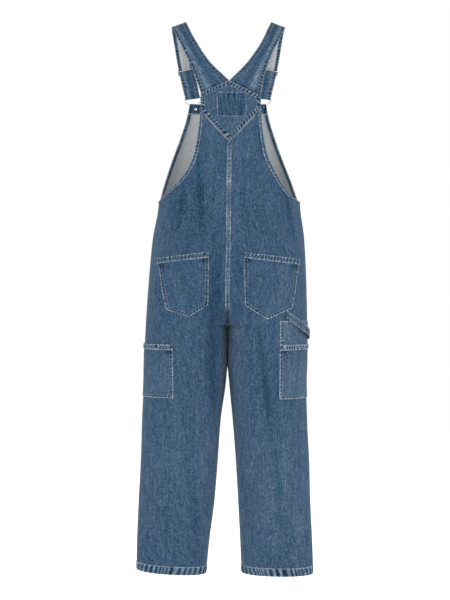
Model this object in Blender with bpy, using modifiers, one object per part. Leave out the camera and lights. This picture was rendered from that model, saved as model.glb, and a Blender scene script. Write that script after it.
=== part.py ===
"""Denim bib overalls, hollow and filled out as when worn.

Metres, +Z up. The back faces -Y, the wearer's right side is +X, and the origin lies where the shoulders carry
the straps. Every panel is a loft on one form, whose cross-sections are in FORM, and what lies on a panel is made
from that panel's points, moved out.
"""

import math
from collections import namedtuple

import bpy
import numpy as np
from mathutils import Matrix, Vector

COLLECTION = "denim_bib_overalls"

# Cloth and gaps
CLOTH = 0.0016
STRAP_CLOTH = 0.0022
POCKET_CLOTH = 0.0014
SEAM_GAP = 0.0003
SIDE_SEAM_GAP = 0.0007
LAYER_GAP = 0.0005
EDGE_LAYER_GAP = 0.0008

# Heights
CROTCH_Z = -0.800
UNDERARM_Z = -0.478
WAIST_SEAM_Z = -0.4800
BIB_TOP_Z = -0.199
HEM_Z = {"left": -1.4455, "right": -1.4505}
HEM_TILT = {"left": 0.0055, "right": -0.0015}
HEM_TILT_FADE = 0.15

# Roundness of the cross-sections, as superellipse powers, and the arch of the crotch seam
BODY_ROUND = 2.35
LEG_ROUND = 2.15
ARCH_HEIGHT = {"back": 0.135, "front": 0.115}
ARCH_ROUND = 2.2
SEAT_HEIGHT = 0.190

# Grid sizes
COLUMNS = {"back": 14, "front": 12}
LEG_ROWS = 15
ARCH_ROWS = 6
ARCH_ROW_EASE = 2.0
HIP_ROWS = 5
SHOULDER_BLADE_ROWS = 10
SHOULDER_BLADE_ROW_EASE = 1.4

OUT = {"back": -1.0, "front": 1.0}
SIDES = {"left": -1.0, "right": 1.0}

Section = namedtuple("Section", "z left right left_in right_in centre middle back front")
FORM = (
    Section(-0.150, 0.172, 0.176, 0.0000, 0.0000, 0.0035, 0.000, 0.104, 0.119),
    Section(-0.250, 0.183, 0.186, 0.0000, 0.0000, 0.0040, 0.000, 0.113, 0.127),
    Section(-0.360, 0.188, 0.191, 0.0000, 0.0000, 0.0030, 0.000, 0.114, 0.129),
    Section(-0.474, 0.183, 0.190, 0.0000, 0.0000, 0.0015, 0.000, 0.117, 0.127),
    Section(-0.575, 0.199, 0.2015, 0.0000, 0.0000, 0.0008, 0.000, 0.131, 0.130),
    Section(-0.681, 0.209, 0.2067, 0.0022, -0.0010, -0.0016, 0.000, 0.143, 0.132),
    Section(-0.787, 0.2165, 0.2090, 0.0022, -0.0010, -0.0016, 0.001, 0.136, 0.128),
    Section(-0.893, 0.2215, 0.2085, 0.0022, -0.0010, -0.0016, 0.003, 0.119, 0.117),
    Section(-0.946, 0.2226, 0.2070, 0.0055, 0.0030, 0.0, 0.004, 0.109, 0.108),
    Section(-1.052, 0.2275, 0.2094, 0.0200, 0.0130, 0.0, 0.004, 0.093, 0.092),
    Section(-1.158, 0.2306, 0.2147, 0.0275, 0.0210, 0.0, 0.000, 0.083, 0.079),
    Section(-1.264, 0.2359, 0.2173, 0.0360, 0.0270, 0.0, -0.006, 0.074, 0.068),
    Section(-1.370, 0.2400, 0.2220, 0.0500, 0.0325, 0.0, -0.011, 0.066, 0.060),
    Section(-1.460, 0.2415, 0.2250, 0.0590, 0.0360, 0.0, -0.014, 0.061, 0.056),
)

# Half widths of the back at its armhole edges, and of the bib
Edge = namedtuple("Edge", "z left right")
BACK_EDGE = (
    Edge(-0.190, 0.0705, 0.0845),
    Edge(-0.245, 0.0715, 0.0848),
    Edge(-0.310, 0.0785, 0.0915),
    Edge(-0.358, 0.0885, 0.1010),
    Edge(-0.397, 0.1050, 0.1185),
    Edge(-0.434, 0.1350, 0.1395),
    Edge(-0.464, 0.1690, 0.1640),
    Edge(-0.478, 0.1820, 0.1885),
)
BIB_EDGE = (
    Edge(-0.199, 0.1040, 0.1040),
    Edge(-0.243, 0.1135, 0.1130),
    Edge(-0.297, 0.1305, 0.1290),
    Edge(-0.352, 0.1500, 0.1480),
    Edge(-0.410, 0.1680, 0.1690),
    Edge(-0.450, 0.1780, 0.1815),
    Edge(-0.480, 0.1825, 0.1893),
)

# Largest folds: soft troughs that run down the cloth, placed from their upper to their lower end
FOLD_END_EASE = 1.5
FOLD_SHARPNESS = 2.0
FOLD_REST = 0.3
Fold = namedtuple("Fold", "face side x_top z_top x_low z_low half_width depth")
FOLDS = (
    Fold("back", "left", -0.066, -0.400, -0.072, -0.620, 0.026, 0.0045),
    Fold("back", "right", 0.152, -0.480, 0.166, -0.600, 0.022, 0.0040),
    Fold("back", "right", 0.092, -0.930, 0.100, -1.090, 0.026, 0.0055),
    Fold("back", "left", -0.190, -1.150, -0.110, -1.330, 0.030, 0.0040),
    Fold("front", "right", 0.060, -0.900, 0.110, -1.080, 0.030, 0.0045),
    Fold("front", "left", -0.180, -1.120, -0.110, -1.300, 0.030, 0.0045),
    Fold("front", "left", -0.070, -0.500, -0.075, -0.660, 0.030, 0.0035),
    Fold("front", "right", 0.072, -0.510, 0.078, -0.680, 0.030, 0.0035),
)

# Yoke: its corners from the left side over the neck point to the right side, and along its lower edge
Corner = namedtuple("Corner", "x z")
YOKE_TOP = (Corner(-0.0708, -0.1995), Corner(0.0030, -0.1690), Corner(0.0846, -0.2075))
YOKE_LOW = (Corner(-0.0714, -0.2460), Corner(0.0040, -0.3270), Corner(0.0847, -0.2410))
YOKE_COLUMNS = 12
YOKE_ROWS = 5
PATCH_TOP = (Corner(-0.0293, -0.1990), Corner(0.0475, -0.1990))
PATCH_LOW = (Corner(-0.0285, -0.2630), Corner(0.0470, -0.2635))
PATCH_COLUMNS = 6
PATCH_ROWS = 4

# Back pockets, with the point of the lower edge in the middle
POCKETS = {
    "left": {
        "top": (Corner(-0.1815, -0.6260), Corner(-0.0487, -0.6119)),
        "middle": (Corner(-0.1690, -0.7120), Corner(-0.0500, -0.7120)),
        "low": (Corner(-0.1580, -0.7590), Corner(-0.1000, -0.7770), Corner(-0.0510, -0.7460)),
    },
    "right": {
        "top": (Corner(0.0403, -0.6129), Corner(0.1840, -0.6290)),
        "middle": (Corner(0.0420, -0.7120), Corner(0.1725, -0.7120)),
        "low": (Corner(0.0433, -0.7480), Corner(0.1002, -0.7837), Corner(0.1640, -0.7547)),
    },
}
POCKET_BAND = 0.0140
POCKET_COLUMNS = 12
POCKET_ROWS = 8
POCKET_BAND_ROWS = 2

# Thigh pockets, which wrap round the side seams
THIGH_TOP_Z = {"left": -0.8480, "right": -0.8490}
THIGH_LOW_Z = {"left": -0.9870, "right": -0.9900}
THIGH_BACK_X = {"left": -0.1410, "right": 0.1320}
THIGH_WIDTH = 0.182
THIGH_BAND = 0.0140
THIGH_COLUMNS = 16
THIGH_ROWS = 5
TOOL_TOP_Z = -0.7880
TOOL_WIDTH = 0.172
TOOL_ROWS = 3
ROUND_LEG_FROM = 0.2 * math.pi
ROUND_LEG_TO = 1.6 * math.pi
ROUND_LEG_STEPS = 500

# Hammer loop, which runs round the leg between two angles and slants down
LOOP_HEIGHT = 0.0205
LOOP_START_ANGLE = 0.64 * math.pi
LOOP_END_ANGLE = 1.03 * math.pi
LOOP_START_Z = -0.7700
LOOP_END_Z = -0.8268
LOOP_BOW = 0.0118
LOOP_BOW_EASE = 0.75
LOOP_ROWS = 14

# Straps: their two edges from the yoke to the shoulder, and from the shoulder to the buckle
StrapRow = namedtuple("StrapRow", "in_x in_y in_z out_x out_y out_z")
STRAP_BACK = {
    "left": (
        StrapRow(-0.0456, -0.1010, -0.1209, -0.0889, -0.0960, -0.1480),
        StrapRow(-0.0815, -0.0830, -0.0658, -0.1127, -0.0790, -0.0917),
        StrapRow(-0.1028, -0.0460, -0.0205, -0.1395, -0.0440, -0.0365),
        StrapRow(-0.1113, 0.0000, 0.0010, -0.1490, 0.0000, -0.0120),
    ),
    "right": (
        StrapRow(0.0492, -0.1010, -0.1209, 0.0943, -0.0960, -0.1518),
        StrapRow(0.0852, -0.0830, -0.0670, 0.1153, -0.0790, -0.0943),
        StrapRow(0.1052, -0.0460, -0.0215, 0.1410, -0.0440, -0.0400),
        StrapRow(0.1140, 0.0000, 0.0010, 0.1510, 0.0000, -0.0130),
    ),
}
STRAP_FRONT = (
    StrapRow(0.1110, 0.0400, -0.0090, 0.1488, 0.0395, -0.0215),
    StrapRow(0.1052, 0.0780, -0.0420, 0.1437, 0.0770, -0.0520),
    StrapRow(0.0990, 0.1010, -0.0800, 0.1389, 0.0995, -0.0835),
    StrapRow(0.0932, 0.1130, -0.1085, 0.1341, 0.1115, -0.1090),
    StrapRow(0.0845, 0.1180, -0.1400, 0.1267, 0.1165, -0.1430),
    StrapRow(0.0770, 0.1200, -0.1775, 0.1168, 0.1180, -0.1838),
)
STRAP_COLUMNS = 4
STRAP_ROWS = 30
FOLD_RADIUS = 0.0030
FOLD_ROWS = 6
RETURN_LENGTH = 0.0763
RETURN_ROWS = 8

# Strap hardware: the adjuster's ring, seen along the strap, with how tall it is at each corner
ADJUSTER_TOP = 0.0805
ADJUSTER_WALL = 0.0012
ADJUSTER_ROOM = 0.0006
ADJUSTER_SIDE_ROOM = 0.0018
Ring = namedtuple("Ring", "wide deep tall")
ADJUSTER_RING = (
    Ring(-1.00, 0.55, 0.0160),
    Ring(-0.92, 1.00, 0.0160),
    Ring(0.92, 1.00, 0.0160),
    Ring(1.00, 0.55, 0.0160),
    Ring(1.00, -0.55, 0.0030),
    Ring(0.92, -1.00, 0.0030),
    Ring(-0.92, -1.00, 0.0030),
    Ring(-1.00, -0.55, 0.0030),
)
FRAME_STEP = 0.0100

# Buckles: half of the wire from the middle of its bar to its neck, and the loop round the button's shank
WIRE_RADIUS = 0.0013
WIRE_ROOM = 0.0022
WIRE_HEIGHT = 0.0031
Wire = namedtuple("Wire", "wide low")
BUCKLE_HALF = (
    Wire(0.0220, 0.0000),
    Wire(0.0220, 0.0060),
    Wire(0.0185, 0.0120),
    Wire(0.0110, 0.0205),
)
BUCKLE_LOOP_FROM = 0.50
BUCKLE_LOOP_TO = 2.64
BUCKLE_LOOP_POINTS = 7

# Buttons: a cap with a shallow dome on a shank
BUTTON_X = 0.0890
BUTTON_Z = -0.2130
BUTTON_RADIUS = 0.0085
BUTTON_HEIGHT = 0.0099
CAP_HEIGHT = 0.0030
CAP_SIDE_TOP = 0.0012
CAP_SIDE_LOW = 0.0026
CAP_DOME = 0.0002
CAP_DOME_RADIUS = 0.0061
SHANK_RADIUS = 0.0030
BUTTON_STEPS = 12
BUTTON_PLACE_STEP = 0.0020
SIDE_BUTTON_Z = (-0.5050, -0.5600)
SIDE_BUTTON_X = {"left": -0.1765, "right": 0.1810}

# Bib
BIB_COLUMNS = 14
BIB_ROWS = 11
BIB_BEND = 0.6
BIB_TOP_HEM = 0.0270
BIB_SIDE_HEM = 0.0100
BIB_HEM_ROWS = 2
BIB_HEM_COLUMNS = 3
BIB_POCKET_COLUMNS = 12
BIB_POCKET_ROWS = 7
BIB_POCKET_TOP = (Corner(-0.1030, -0.2700), Corner(0.1030, -0.2700))
BIB_POCKET_LOW = (Corner(-0.1040, -0.4150), Corner(0.0000, -0.4350), Corner(0.1040, -0.4150))

# Bindings of the armholes and felled seam down the centre back
BINDING = 0.0100
CENTRE_SEAM = 0.0120
CENTRE_SEAM_LAP = 0.0040
CENTRE_SEAM_LOW_Z = -0.7600
CENTRE_SEAM_ROWS = 22


def smooth(table, column, z):
    """One column of a table at heights z, on a cubic that never overshoots its rows."""
    rows = sorted(table, key=lambda row: row.z)
    knots = np.array([row.z for row in rows])
    values = np.array([getattr(row, column) for row in rows])
    z = np.clip(np.asarray(z, float), knots[0], knots[-1])
    steps = np.diff(knots)
    rises = np.diff(values) / steps
    slopes = np.zeros(len(values))
    slopes[0], slopes[-1] = rises[0], rises[-1]
    same_way = rises[:-1] * rises[1:] > 0
    both = np.where(same_way, rises[:-1] + rises[1:], 1.0)
    slopes[1:-1] = np.where(same_way, 2 * rises[:-1] * rises[1:] / both, 0.0)
    k = np.clip(np.searchsorted(knots, z, side="right") - 1, 0, len(steps) - 1)
    t = (z - knots[k]) / steps[k]
    start = values[k] * (1 + 2 * t) * (1 - t) ** 2 + slopes[k] * steps[k] * t * (1 - t) ** 2
    end = values[k + 1] * t**2 * (3 - 2 * t) - slopes[k + 1] * steps[k] * t**2 * (1 - t)
    return start + end


def fade(t):
    """0 to 1 with flat ends."""
    t = np.clip(t, 0.0, 1.0)
    return t * t * (3 - 2 * t)


def roundness(share, power):
    """Height of a superellipse of radius 1 at a share of its half width."""
    return (1 - np.clip(np.abs(share), 0, 1) ** power) ** (1 / power)


def arch(z, face):
    """Depth of the crotch seam as a share of the form's: 0 at the crotch, 1 above the arch."""
    share = np.clip((z - CROTCH_Z) / ARCH_HEIGHT[face], 0, 1)
    return (1 - (1 - share) ** ARCH_ROUND) ** (1 / ARCH_ROUND)


def seat(z):
    """How far the torso's form has taken over from the leg's."""
    return fade((z - CROTCH_Z) / SEAT_HEIGHT)


def outer_x(z, side):
    return SIDES[side] * smooth(FORM, side, z)


def inner_x(z, side):
    """The centre line above the crotch, and the inner line of the leg below it."""
    centre = smooth(FORM, "centre", z) + SIDES[side] * SEAM_GAP
    leg = SIDES[side] * smooth(FORM, side + "_in", z)
    return np.where(z >= CROTCH_Z, centre, leg)


def fold_depth(x, z, side, face):
    """How deep the folds are at a place of one panel."""
    depth = np.zeros(np.broadcast(x, z).shape)
    for fold in FOLDS:
        if fold.face == face and fold.side == side:
            along = (fold.z_top - z) / (fold.z_top - fold.z_low)
            across = (x - fold.x_top - along * (fold.x_low - fold.x_top)) / fold.half_width
            inside = np.clip(1 - (2 * along - 1) ** 2, 0, 1) ** FOLD_END_EASE
            depth = depth + fold.depth * inside * np.exp(-FOLD_SHARPNESS * across**2)
    return depth


def form_y(x, z, side, face):
    """The y of one panel at x and height z."""
    reach = smooth(FORM, face, z)
    outer = outer_x(z, side)
    inner = inner_x(z, side)
    centre = smooth(FORM, "centre", z)
    across = (2 * x - outer - inner) / (outer - inner)
    leg = roundness(across, LEG_ROUND)
    leg = np.where(across < 0, 1 - (1 - leg) * (1 - arch(z, face)), leg)
    body = roundness((x - centre) / (outer - centre), BODY_ROUND)
    turn = seat(z)
    depth = reach * ((1 - turn) * leg + turn * body)
    depth = depth - fold_depth(x, z, side, face) * np.minimum(1, depth / (FOLD_REST * reach))
    return smooth(FORM, "middle", z) + OUT[face] * (depth + SIDE_SEAM_GAP / 2)


def on_form(x, z, face):
    """Points of the form's back or front at any x, left or right of the centre."""
    x, z = np.broadcast_arrays(np.asarray(x, float), np.asarray(z, float))
    left = x < smooth(FORM, "centre", z)
    y = np.where(left, form_y(x, z, "left", face), form_y(x, z, "right", face))
    return np.stack([x, y, z], axis=-1)


def polyline(corners, shares):
    """Points at shares of the way along corners, which are evenly spread over 0 to 1."""
    at = np.linspace(0, 1, len(corners))
    x = np.interp(shares, at, [corner.x for corner in corners])
    z = np.interp(shares, at, [corner.z for corner in corners])
    return x, z


def grid_normals(points, towards):
    """Unit normals of a grid, on the side that the vectors towards point to."""
    across = np.gradient(points, axis=1)
    along = np.gradient(points, axis=0)
    normals = np.cross(across, along)
    normals /= np.maximum(np.linalg.norm(normals, axis=-1, keepdims=True), 1e-12)
    return normals * np.sign((normals * towards).sum(axis=-1).mean())


def facing(points, face):
    """Vectors that point out of the form at its back or front."""
    out = np.zeros_like(points)
    out[..., 1] = OUT[face]
    return out


def moved_out(points, towards, distance):
    return points + grid_normals(points, towards) * distance


def material(name, colour, roughness, metallic=0.0):
    """A Principled material, made once for each name."""
    made = bpy.data.materials.get(name)
    if made is None:
        made = bpy.data.materials.new(name)
        made.use_nodes = True
        shader = made.node_tree.nodes["Principled BSDF"]
        shader.inputs["Base Color"].default_value = (*colour, 1.0)
        shader.inputs["Roughness"].default_value = roughness
        shader.inputs["Metallic"].default_value = metallic
    return made


def denim():
    return material("denim", (0.061, 0.119, 0.216), 0.9)


def denim_dark():
    return material("denim_dark", (0.045, 0.088, 0.165), 0.9)


def steel():
    return material("steel", (0.60, 0.60, 0.58), 0.35, 1.0)


def linked(obj, finish):
    """Puts an object in the garment's collection, with its material."""
    bpy.data.collections[COLLECTION].objects.link(obj)
    obj.data.materials.append(finish)
    return obj


def sheet(name, points, towards, thickness, grow, finish, closed=False):
    """A grid of points as cloth: an open surface with Solidify. grow is -1 inwards, 0 both ways, 1 outwards."""
    rows, columns = points.shape[:2]
    turning = np.cross(np.gradient(points, axis=1), np.gradient(points, axis=0))
    if (grid_normals(points, towards) * turning).sum() < 0:
        points = points[:, ::-1]
    number = np.arange(rows * columns).reshape(rows, columns)
    right = np.roll(number, -1, axis=1) if closed else number[:, 1:]
    left = number if closed else number[:, :-1]
    faces = np.stack([left[:-1], right[:-1], right[1:], left[1:]], axis=-1).reshape(-1, 4)
    mesh = bpy.data.meshes.new(name)
    mesh.from_pydata(points.reshape(-1, 3).tolist(), [], faces.tolist())
    mesh.shade_smooth()
    obj = linked(bpy.data.objects.new(name, mesh), finish)
    wall = obj.modifiers.new("cloth", "SOLIDIFY")
    wall.thickness = thickness
    wall.offset = grow
    wall.use_even_offset = True
    wall.use_quality_normals = True
    return obj


def panel_rows(side, face):
    """Heights of a panel's rows from the hem up, at its centre or inner edge and at its outer edge."""
    top = CROTCH_Z + ARCH_HEIGHT[face]
    leg = HEM_Z[side] + (CROTCH_Z - HEM_Z[side]) * np.linspace(0, 1, LEG_ROWS + 1)
    crotch = CROTCH_Z + ARCH_HEIGHT[face] * np.linspace(0, 1, ARCH_ROWS + 1)[1:] ** ARCH_ROW_EASE
    end = UNDERARM_Z if face == "back" else WAIST_SEAM_Z - SEAM_GAP
    hip = top + (end - top) * np.linspace(0, 1, HIP_ROWS + 1)[1:]
    inner = np.concatenate([leg, crotch, hip])
    outer = inner
    if face == "back":
        rise = np.linspace(0, 1, SHOULDER_BLADE_ROWS + 1)[1:] ** SHOULDER_BLADE_ROW_EASE
        corner = YOKE_LOW[0] if side == "left" else YOKE_LOW[2]
        blade_top = corner.z - 2 * SEAM_GAP
        centre_top = YOKE_LOW[1].z - 2 * SEAM_GAP
        inner = np.concatenate([inner, end + (centre_top - end) * rise])
        outer = np.concatenate([outer, end + (blade_top - end) * rise])
    return inner, outer


def panel_points(side, face, columns):
    """The grid of a back or front panel with its leg: rows up from the hem, columns from the inner edge out."""
    inner_z, outer_z = panel_rows(side, face)
    t = np.linspace(0, 1, columns + 1)[None, :]
    z = inner_z[:, None] + (outer_z - inner_z)[:, None] * t
    inner = inner_x(z, side)
    outer = outer_x(z, side)
    edge = outer_x(outer_z, side)
    if face == "back":
        edge_back = SIDES[side] * smooth(BACK_EDGE, side, outer_z)
        edge = np.where(outer_z > UNDERARM_Z + 1e-6, edge_back, edge)
    start = inner_x(outer_z, side)
    reach = np.arcsin(np.clip((edge - start) / (outer_x(outer_z, side) - start), 0, 1))
    body_x = inner + (outer - inner) * np.sin(t * reach[:, None])
    leg_x = inner + (outer - inner) * (1 - np.cos(math.pi * t)) / 2
    turn = seat(z)
    x = (1 - turn) * leg_x + turn * body_x
    y = form_y(x, z, side, face)
    middle = (outer + inner) / 2
    tilt = fade((HEM_Z[side] + HEM_TILT_FADE - z) / HEM_TILT_FADE) * HEM_TILT[side]
    lean = (x - middle) / (outer - inner) * 2
    return np.stack([x, y, z + tilt * lean], axis=-1)


def make_panels():
    for face in OUT:
        for side in SIDES:
            points = panel_points(side, face, COLUMNS[face])
            sheet(f"{face}_{side}", points, facing(points, face), CLOTH, -1, denim())


def patch_points(top, low, columns, rows, face, middle=None):
    """A flat piece between an upper and a lower edge, laid on the form."""
    u = np.linspace(0, 1, columns + 1)[None, :]
    v = np.linspace(0, 1, rows + 1)[:, None]
    top_x, top_z = polyline(top, u)
    low_x, low_z = polyline(low, u)
    x = top_x + (low_x - top_x) * v
    z = top_z + (low_z - top_z) * v
    if middle:
        middle_x, middle_z = polyline(middle, u)
        share = (top_z - middle_z) / (top_z - low_z)
        bend = np.where(v < share, v / share, (1 - v) / (1 - share))
        x = x + bend * (middle_x - top_x - (low_x - top_x) * share)
    return on_form(x, z, face)


def make_yoke():
    """The yoke fills the gap between the two back panels and the roots of the straps."""
    top = tuple(Corner(corner.x, corner.z - SEAM_GAP) for corner in YOKE_TOP)
    points = patch_points(top, YOKE_LOW, YOKE_COLUMNS, YOKE_ROWS, "back")
    sheet("back_yoke", points, facing(points, "back"), CLOTH, -1, denim())
    points = patch_points(PATCH_TOP, PATCH_LOW, PATCH_COLUMNS, PATCH_ROWS, "back")
    points = moved_out(points, facing(points, "back"), LAYER_GAP)
    sheet("yoke_patch", points, facing(points, "back"), POCKET_CLOTH, 1, denim_dark())


def make_back_pockets():
    for side, edges in POCKETS.items():
        points = patch_points(
            edges["top"], edges["low"], POCKET_COLUMNS, POCKET_ROWS, "back", edges["middle"]
        )
        out = facing(points, "back")
        raised = moved_out(points, out, LAYER_GAP)
        sheet(f"back_pocket_{side}", raised, out, POCKET_CLOTH, 1, denim())
        low = tuple(Corner(corner.x, corner.z - POCKET_BAND) for corner in edges["top"])
        points = patch_points(edges["top"], low, POCKET_COLUMNS, POCKET_BAND_ROWS, "back")
        out = facing(points, "back")
        raised = moved_out(points, out, 2 * LAYER_GAP + POCKET_CLOTH)
        sheet(f"back_pocket_band_{side}", raised, out, POCKET_CLOTH, 1, denim())


def leg_point(angle, z, side):
    """A point round a leg: angle 0 is its inner side, 180 degrees its outer side, and the back comes between."""
    outer = outer_x(z, side)
    inner = inner_x(z, side)
    x = (outer + inner) / 2 - (outer - inner) / 2 * np.cos(angle)
    face_back = np.sin(angle) >= 0
    y = np.where(face_back, form_y(x, z, side, "back"), form_y(x, z, side, "front"))
    return np.stack([x, y, z], axis=-1)


def leg_strip(side, start_x, width, heights, columns):
    """A grid on a leg that starts at start_x on its back and goes a width round its outer side."""
    heights = np.asarray(heights, float)
    angles = np.linspace(ROUND_LEG_FROM, ROUND_LEG_TO, ROUND_LEG_STEPS)
    rows = []
    for z in heights:
        line = leg_point(angles, np.full(len(angles), z), side)
        past = SIDES[side] * (line[:, 0] - start_x) >= 0
        first = int(np.argmax(past))
        length = np.linalg.norm(np.diff(line[first:], axis=0), axis=1)
        along = np.concatenate([[0], np.cumsum(length)])
        angle = np.interp(np.linspace(0, width, columns + 1), along, angles[first:])
        rows.append(leg_point(angle, np.full(columns + 1, z), side))
    return np.array(rows)


def round_leg(points, side):
    """Vectors from a leg's axis to points on it."""
    z = points[..., 2]
    axis = np.stack([(outer_x(z, side) + inner_x(z, side)) / 2, smooth(FORM, "middle", z), z], axis=-1)
    return points - axis


def make_thigh_pockets():
    for side in SIDES:
        top, low = THIGH_TOP_Z[side], THIGH_LOW_Z[side]
        heights = np.linspace(top, low, THIGH_ROWS + 1)
        points = leg_strip(side, THIGH_BACK_X[side], THIGH_WIDTH, heights, THIGH_COLUMNS)
        out = round_leg(points, side)
        raised = moved_out(points, out, LAYER_GAP)
        sheet(f"thigh_pocket_{side}", raised, out, POCKET_CLOTH, 1, denim())
        heights = (top, top - THIGH_BAND)
        points = leg_strip(side, THIGH_BACK_X[side], THIGH_WIDTH, heights, THIGH_COLUMNS)
        out = round_leg(points, side)
        raised = moved_out(points, out, 2 * LAYER_GAP + POCKET_CLOTH)
        sheet(f"thigh_pocket_band_{side}", raised, out, POCKET_CLOTH, 1, denim())
    heights = np.linspace(TOOL_TOP_Z, THIGH_TOP_Z["right"] + 2 * SEAM_GAP, TOOL_ROWS + 1)
    points = leg_strip("right", THIGH_BACK_X["right"], TOOL_WIDTH, heights, THIGH_COLUMNS)
    out = round_leg(points, "right")
    raised = moved_out(points, out, LAYER_GAP)
    sheet("tool_panel_right", raised, out, POCKET_CLOTH, 1, denim())


def make_hammer_loop():
    """A strip from under the right back pocket to the side seam, straight from behind and bowed off the cloth."""
    share = np.linspace(0, 1, LOOP_ROWS + 1)
    angle = LOOP_START_ANGLE + (LOOP_END_ANGLE - LOOP_START_ANGLE) * share
    across = (math.cos(LOOP_START_ANGLE) - np.cos(angle)) / (math.cos(LOOP_START_ANGLE) + 1)
    centre_z = LOOP_START_Z + (LOOP_END_Z - LOOP_START_Z) * across
    edges = [leg_point(angle, centre_z + LOOP_HEIGHT * part, "right") for part in (0.5, 0, -0.5)]
    points = np.stack(edges, axis=1)
    out = round_leg(points, "right")
    bow = LOOP_BOW * np.sin(math.pi * share**LOOP_BOW_EASE) ** 2
    lift = 2 * LAYER_GAP + POCKET_CLOTH + bow
    raised = points + grid_normals(points, out) * lift[:, None, None]
    sheet("hammer_loop", raised, out, CLOTH, 1, denim())


def bib_x(t, z):
    """x across the bib: t is -1 at its left edge and 1 at its right edge."""
    left = -smooth(BIB_EDGE, "left", z)
    right = smooth(BIB_EDGE, "right", z)
    bend = np.sin(t * math.pi / 2) * BIB_BEND + t * (1 - BIB_BEND)
    return (left + right) / 2 + (right - left) / 2 * bend


def edge_strip(rows, width, columns=2):
    """A strip along the last column of a grid, whose points lie on the grid's own rows."""
    strip = []
    for row in rows:
        line = row[::-1]
        along = np.concatenate([[0], np.cumsum(np.linalg.norm(np.diff(line, axis=0), axis=1))])
        places = np.linspace(0, width, columns + 1)
        strip.append(np.stack([np.interp(places, along, line[:, k]) for k in range(3)], axis=-1))
    return np.array(strip)


def make_bib():
    """The bib, its turned hems on the inside and its pocket on the outside."""
    t = np.linspace(-1, 1, BIB_COLUMNS + 1)[None, :]
    hem_z = BIB_TOP_Z - BIB_TOP_HEM
    heights = np.concatenate([np.linspace(WAIST_SEAM_Z, hem_z, BIB_ROWS), [BIB_TOP_Z]])
    z = heights[:, None] + 0 * t
    bib = on_form(bib_x(t, z), z, "front")
    sheet("bib", bib, facing(bib, "front"), CLOTH, -1, denim())
    inside = -(CLOTH + LAYER_GAP)
    z = np.linspace(hem_z, BIB_TOP_Z, BIB_HEM_ROWS + 1)[:, None] + 0 * t
    points = on_form(bib_x(t, z), z, "front")
    raised = moved_out(points, facing(points, "front"), inside)
    sheet("bib_top_hem", raised, facing(points, "front"), POCKET_CLOTH, -1, denim_dark())
    for side in SIDES:
        rows = bib[1:-1] if side == "right" else bib[1:-1, ::-1]
        points = edge_strip(rows, BIB_SIDE_HEM, BIB_HEM_COLUMNS)
        gap_share = 2 * LAYER_GAP / (heights[-2] - heights[-3])
        points[-1] += (points[-2] - points[-1]) * gap_share
        raised = moved_out(points, facing(points, "front"), -(CLOTH + EDGE_LAYER_GAP))
        sheet(f"bib_side_hem_{side}", raised, facing(points, "front"), POCKET_CLOTH, -1, denim_dark())
    points = patch_points(
        BIB_POCKET_TOP, BIB_POCKET_LOW, BIB_POCKET_COLUMNS, BIB_POCKET_ROWS, "front"
    )
    raised = moved_out(points, facing(points, "front"), LAYER_GAP)
    sheet("bib_pocket", raised, facing(points, "front"), POCKET_CLOTH, 1, denim())


def make_edges():
    """The bindings of the back armholes and the felled seam down the centre back."""
    for side in SIDES:
        panel = panel_points(side, "back", COLUMNS["back"])
        points = edge_strip(panel[-SHOULDER_BLADE_ROWS:], BINDING)
        raised = moved_out(points, facing(points, "back"), EDGE_LAYER_GAP)
        sheet(f"armhole_binding_{side}", raised, facing(points, "back"), POCKET_CLOTH, 1, denim())
    top = YOKE_LOW[1].z - CENTRE_SEAM_LAP
    z = np.linspace(top, CENTRE_SEAM_LOW_Z, CENTRE_SEAM_ROWS + 1)[:, None]
    centre = smooth(FORM, "centre", z)
    points = on_form(centre + np.array([[-0.5, 0.0, 0.5]]) * CENTRE_SEAM, z, "back")
    raised = moved_out(points, facing(points, "back"), LAYER_GAP)
    sheet("centre_back_seam", raised, facing(points, "back"), POCKET_CLOTH, 1, denim())


def through(points, count):
    """A smooth path of count + 1 evenly spaced points through given ones."""
    points = np.asarray(points, float)
    length = np.linalg.norm(np.diff(points, axis=0), axis=1)
    at = np.concatenate([[0], np.cumsum(length)])
    slopes = np.gradient(points, at, axis=0)
    where = np.linspace(0, at[-1], count + 1)
    k = np.clip(np.searchsorted(at, where, side="right") - 1, 0, len(length) - 1)
    t = ((where - at[k]) / length[k])[:, None]
    step = length[k][:, None]
    start = points[k] * (1 + 2 * t) * (1 - t) ** 2 + slopes[k] * step * t * (1 - t) ** 2
    end = points[k + 1] * t**2 * (3 - 2 * t) - slopes[k + 1] * step * t**2 * (1 - t)
    return start + end


def strap_edges(side):
    """The two edges of a strap from the yoke over the shoulder to the fold at the buckle."""
    sign = SIDES[side]
    outer = YOKE_TOP[0] if side == "left" else YOKE_TOP[2]
    neck = YOKE_TOP[1]
    neck_x = neck.x + sign * SEAM_GAP
    root_in = on_form(neck_x, neck.z, "back")
    root_out = on_form(outer.x, outer.z, "back")
    inside = np.array([0, CLOTH / 2, SEAM_GAP])
    inner = [root_in + inside] + [(row.in_x, row.in_y, row.in_z) for row in STRAP_BACK[side]]
    outer = [root_out + inside] + [(row.out_x, row.out_y, row.out_z) for row in STRAP_BACK[side]]
    inner += [(sign * row.in_x, row.in_y, row.in_z) for row in STRAP_FRONT]
    outer += [(sign * row.out_x, row.out_y, row.out_z) for row in STRAP_FRONT]
    return through(inner, STRAP_ROWS), through(outer, STRAP_ROWS)


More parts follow.
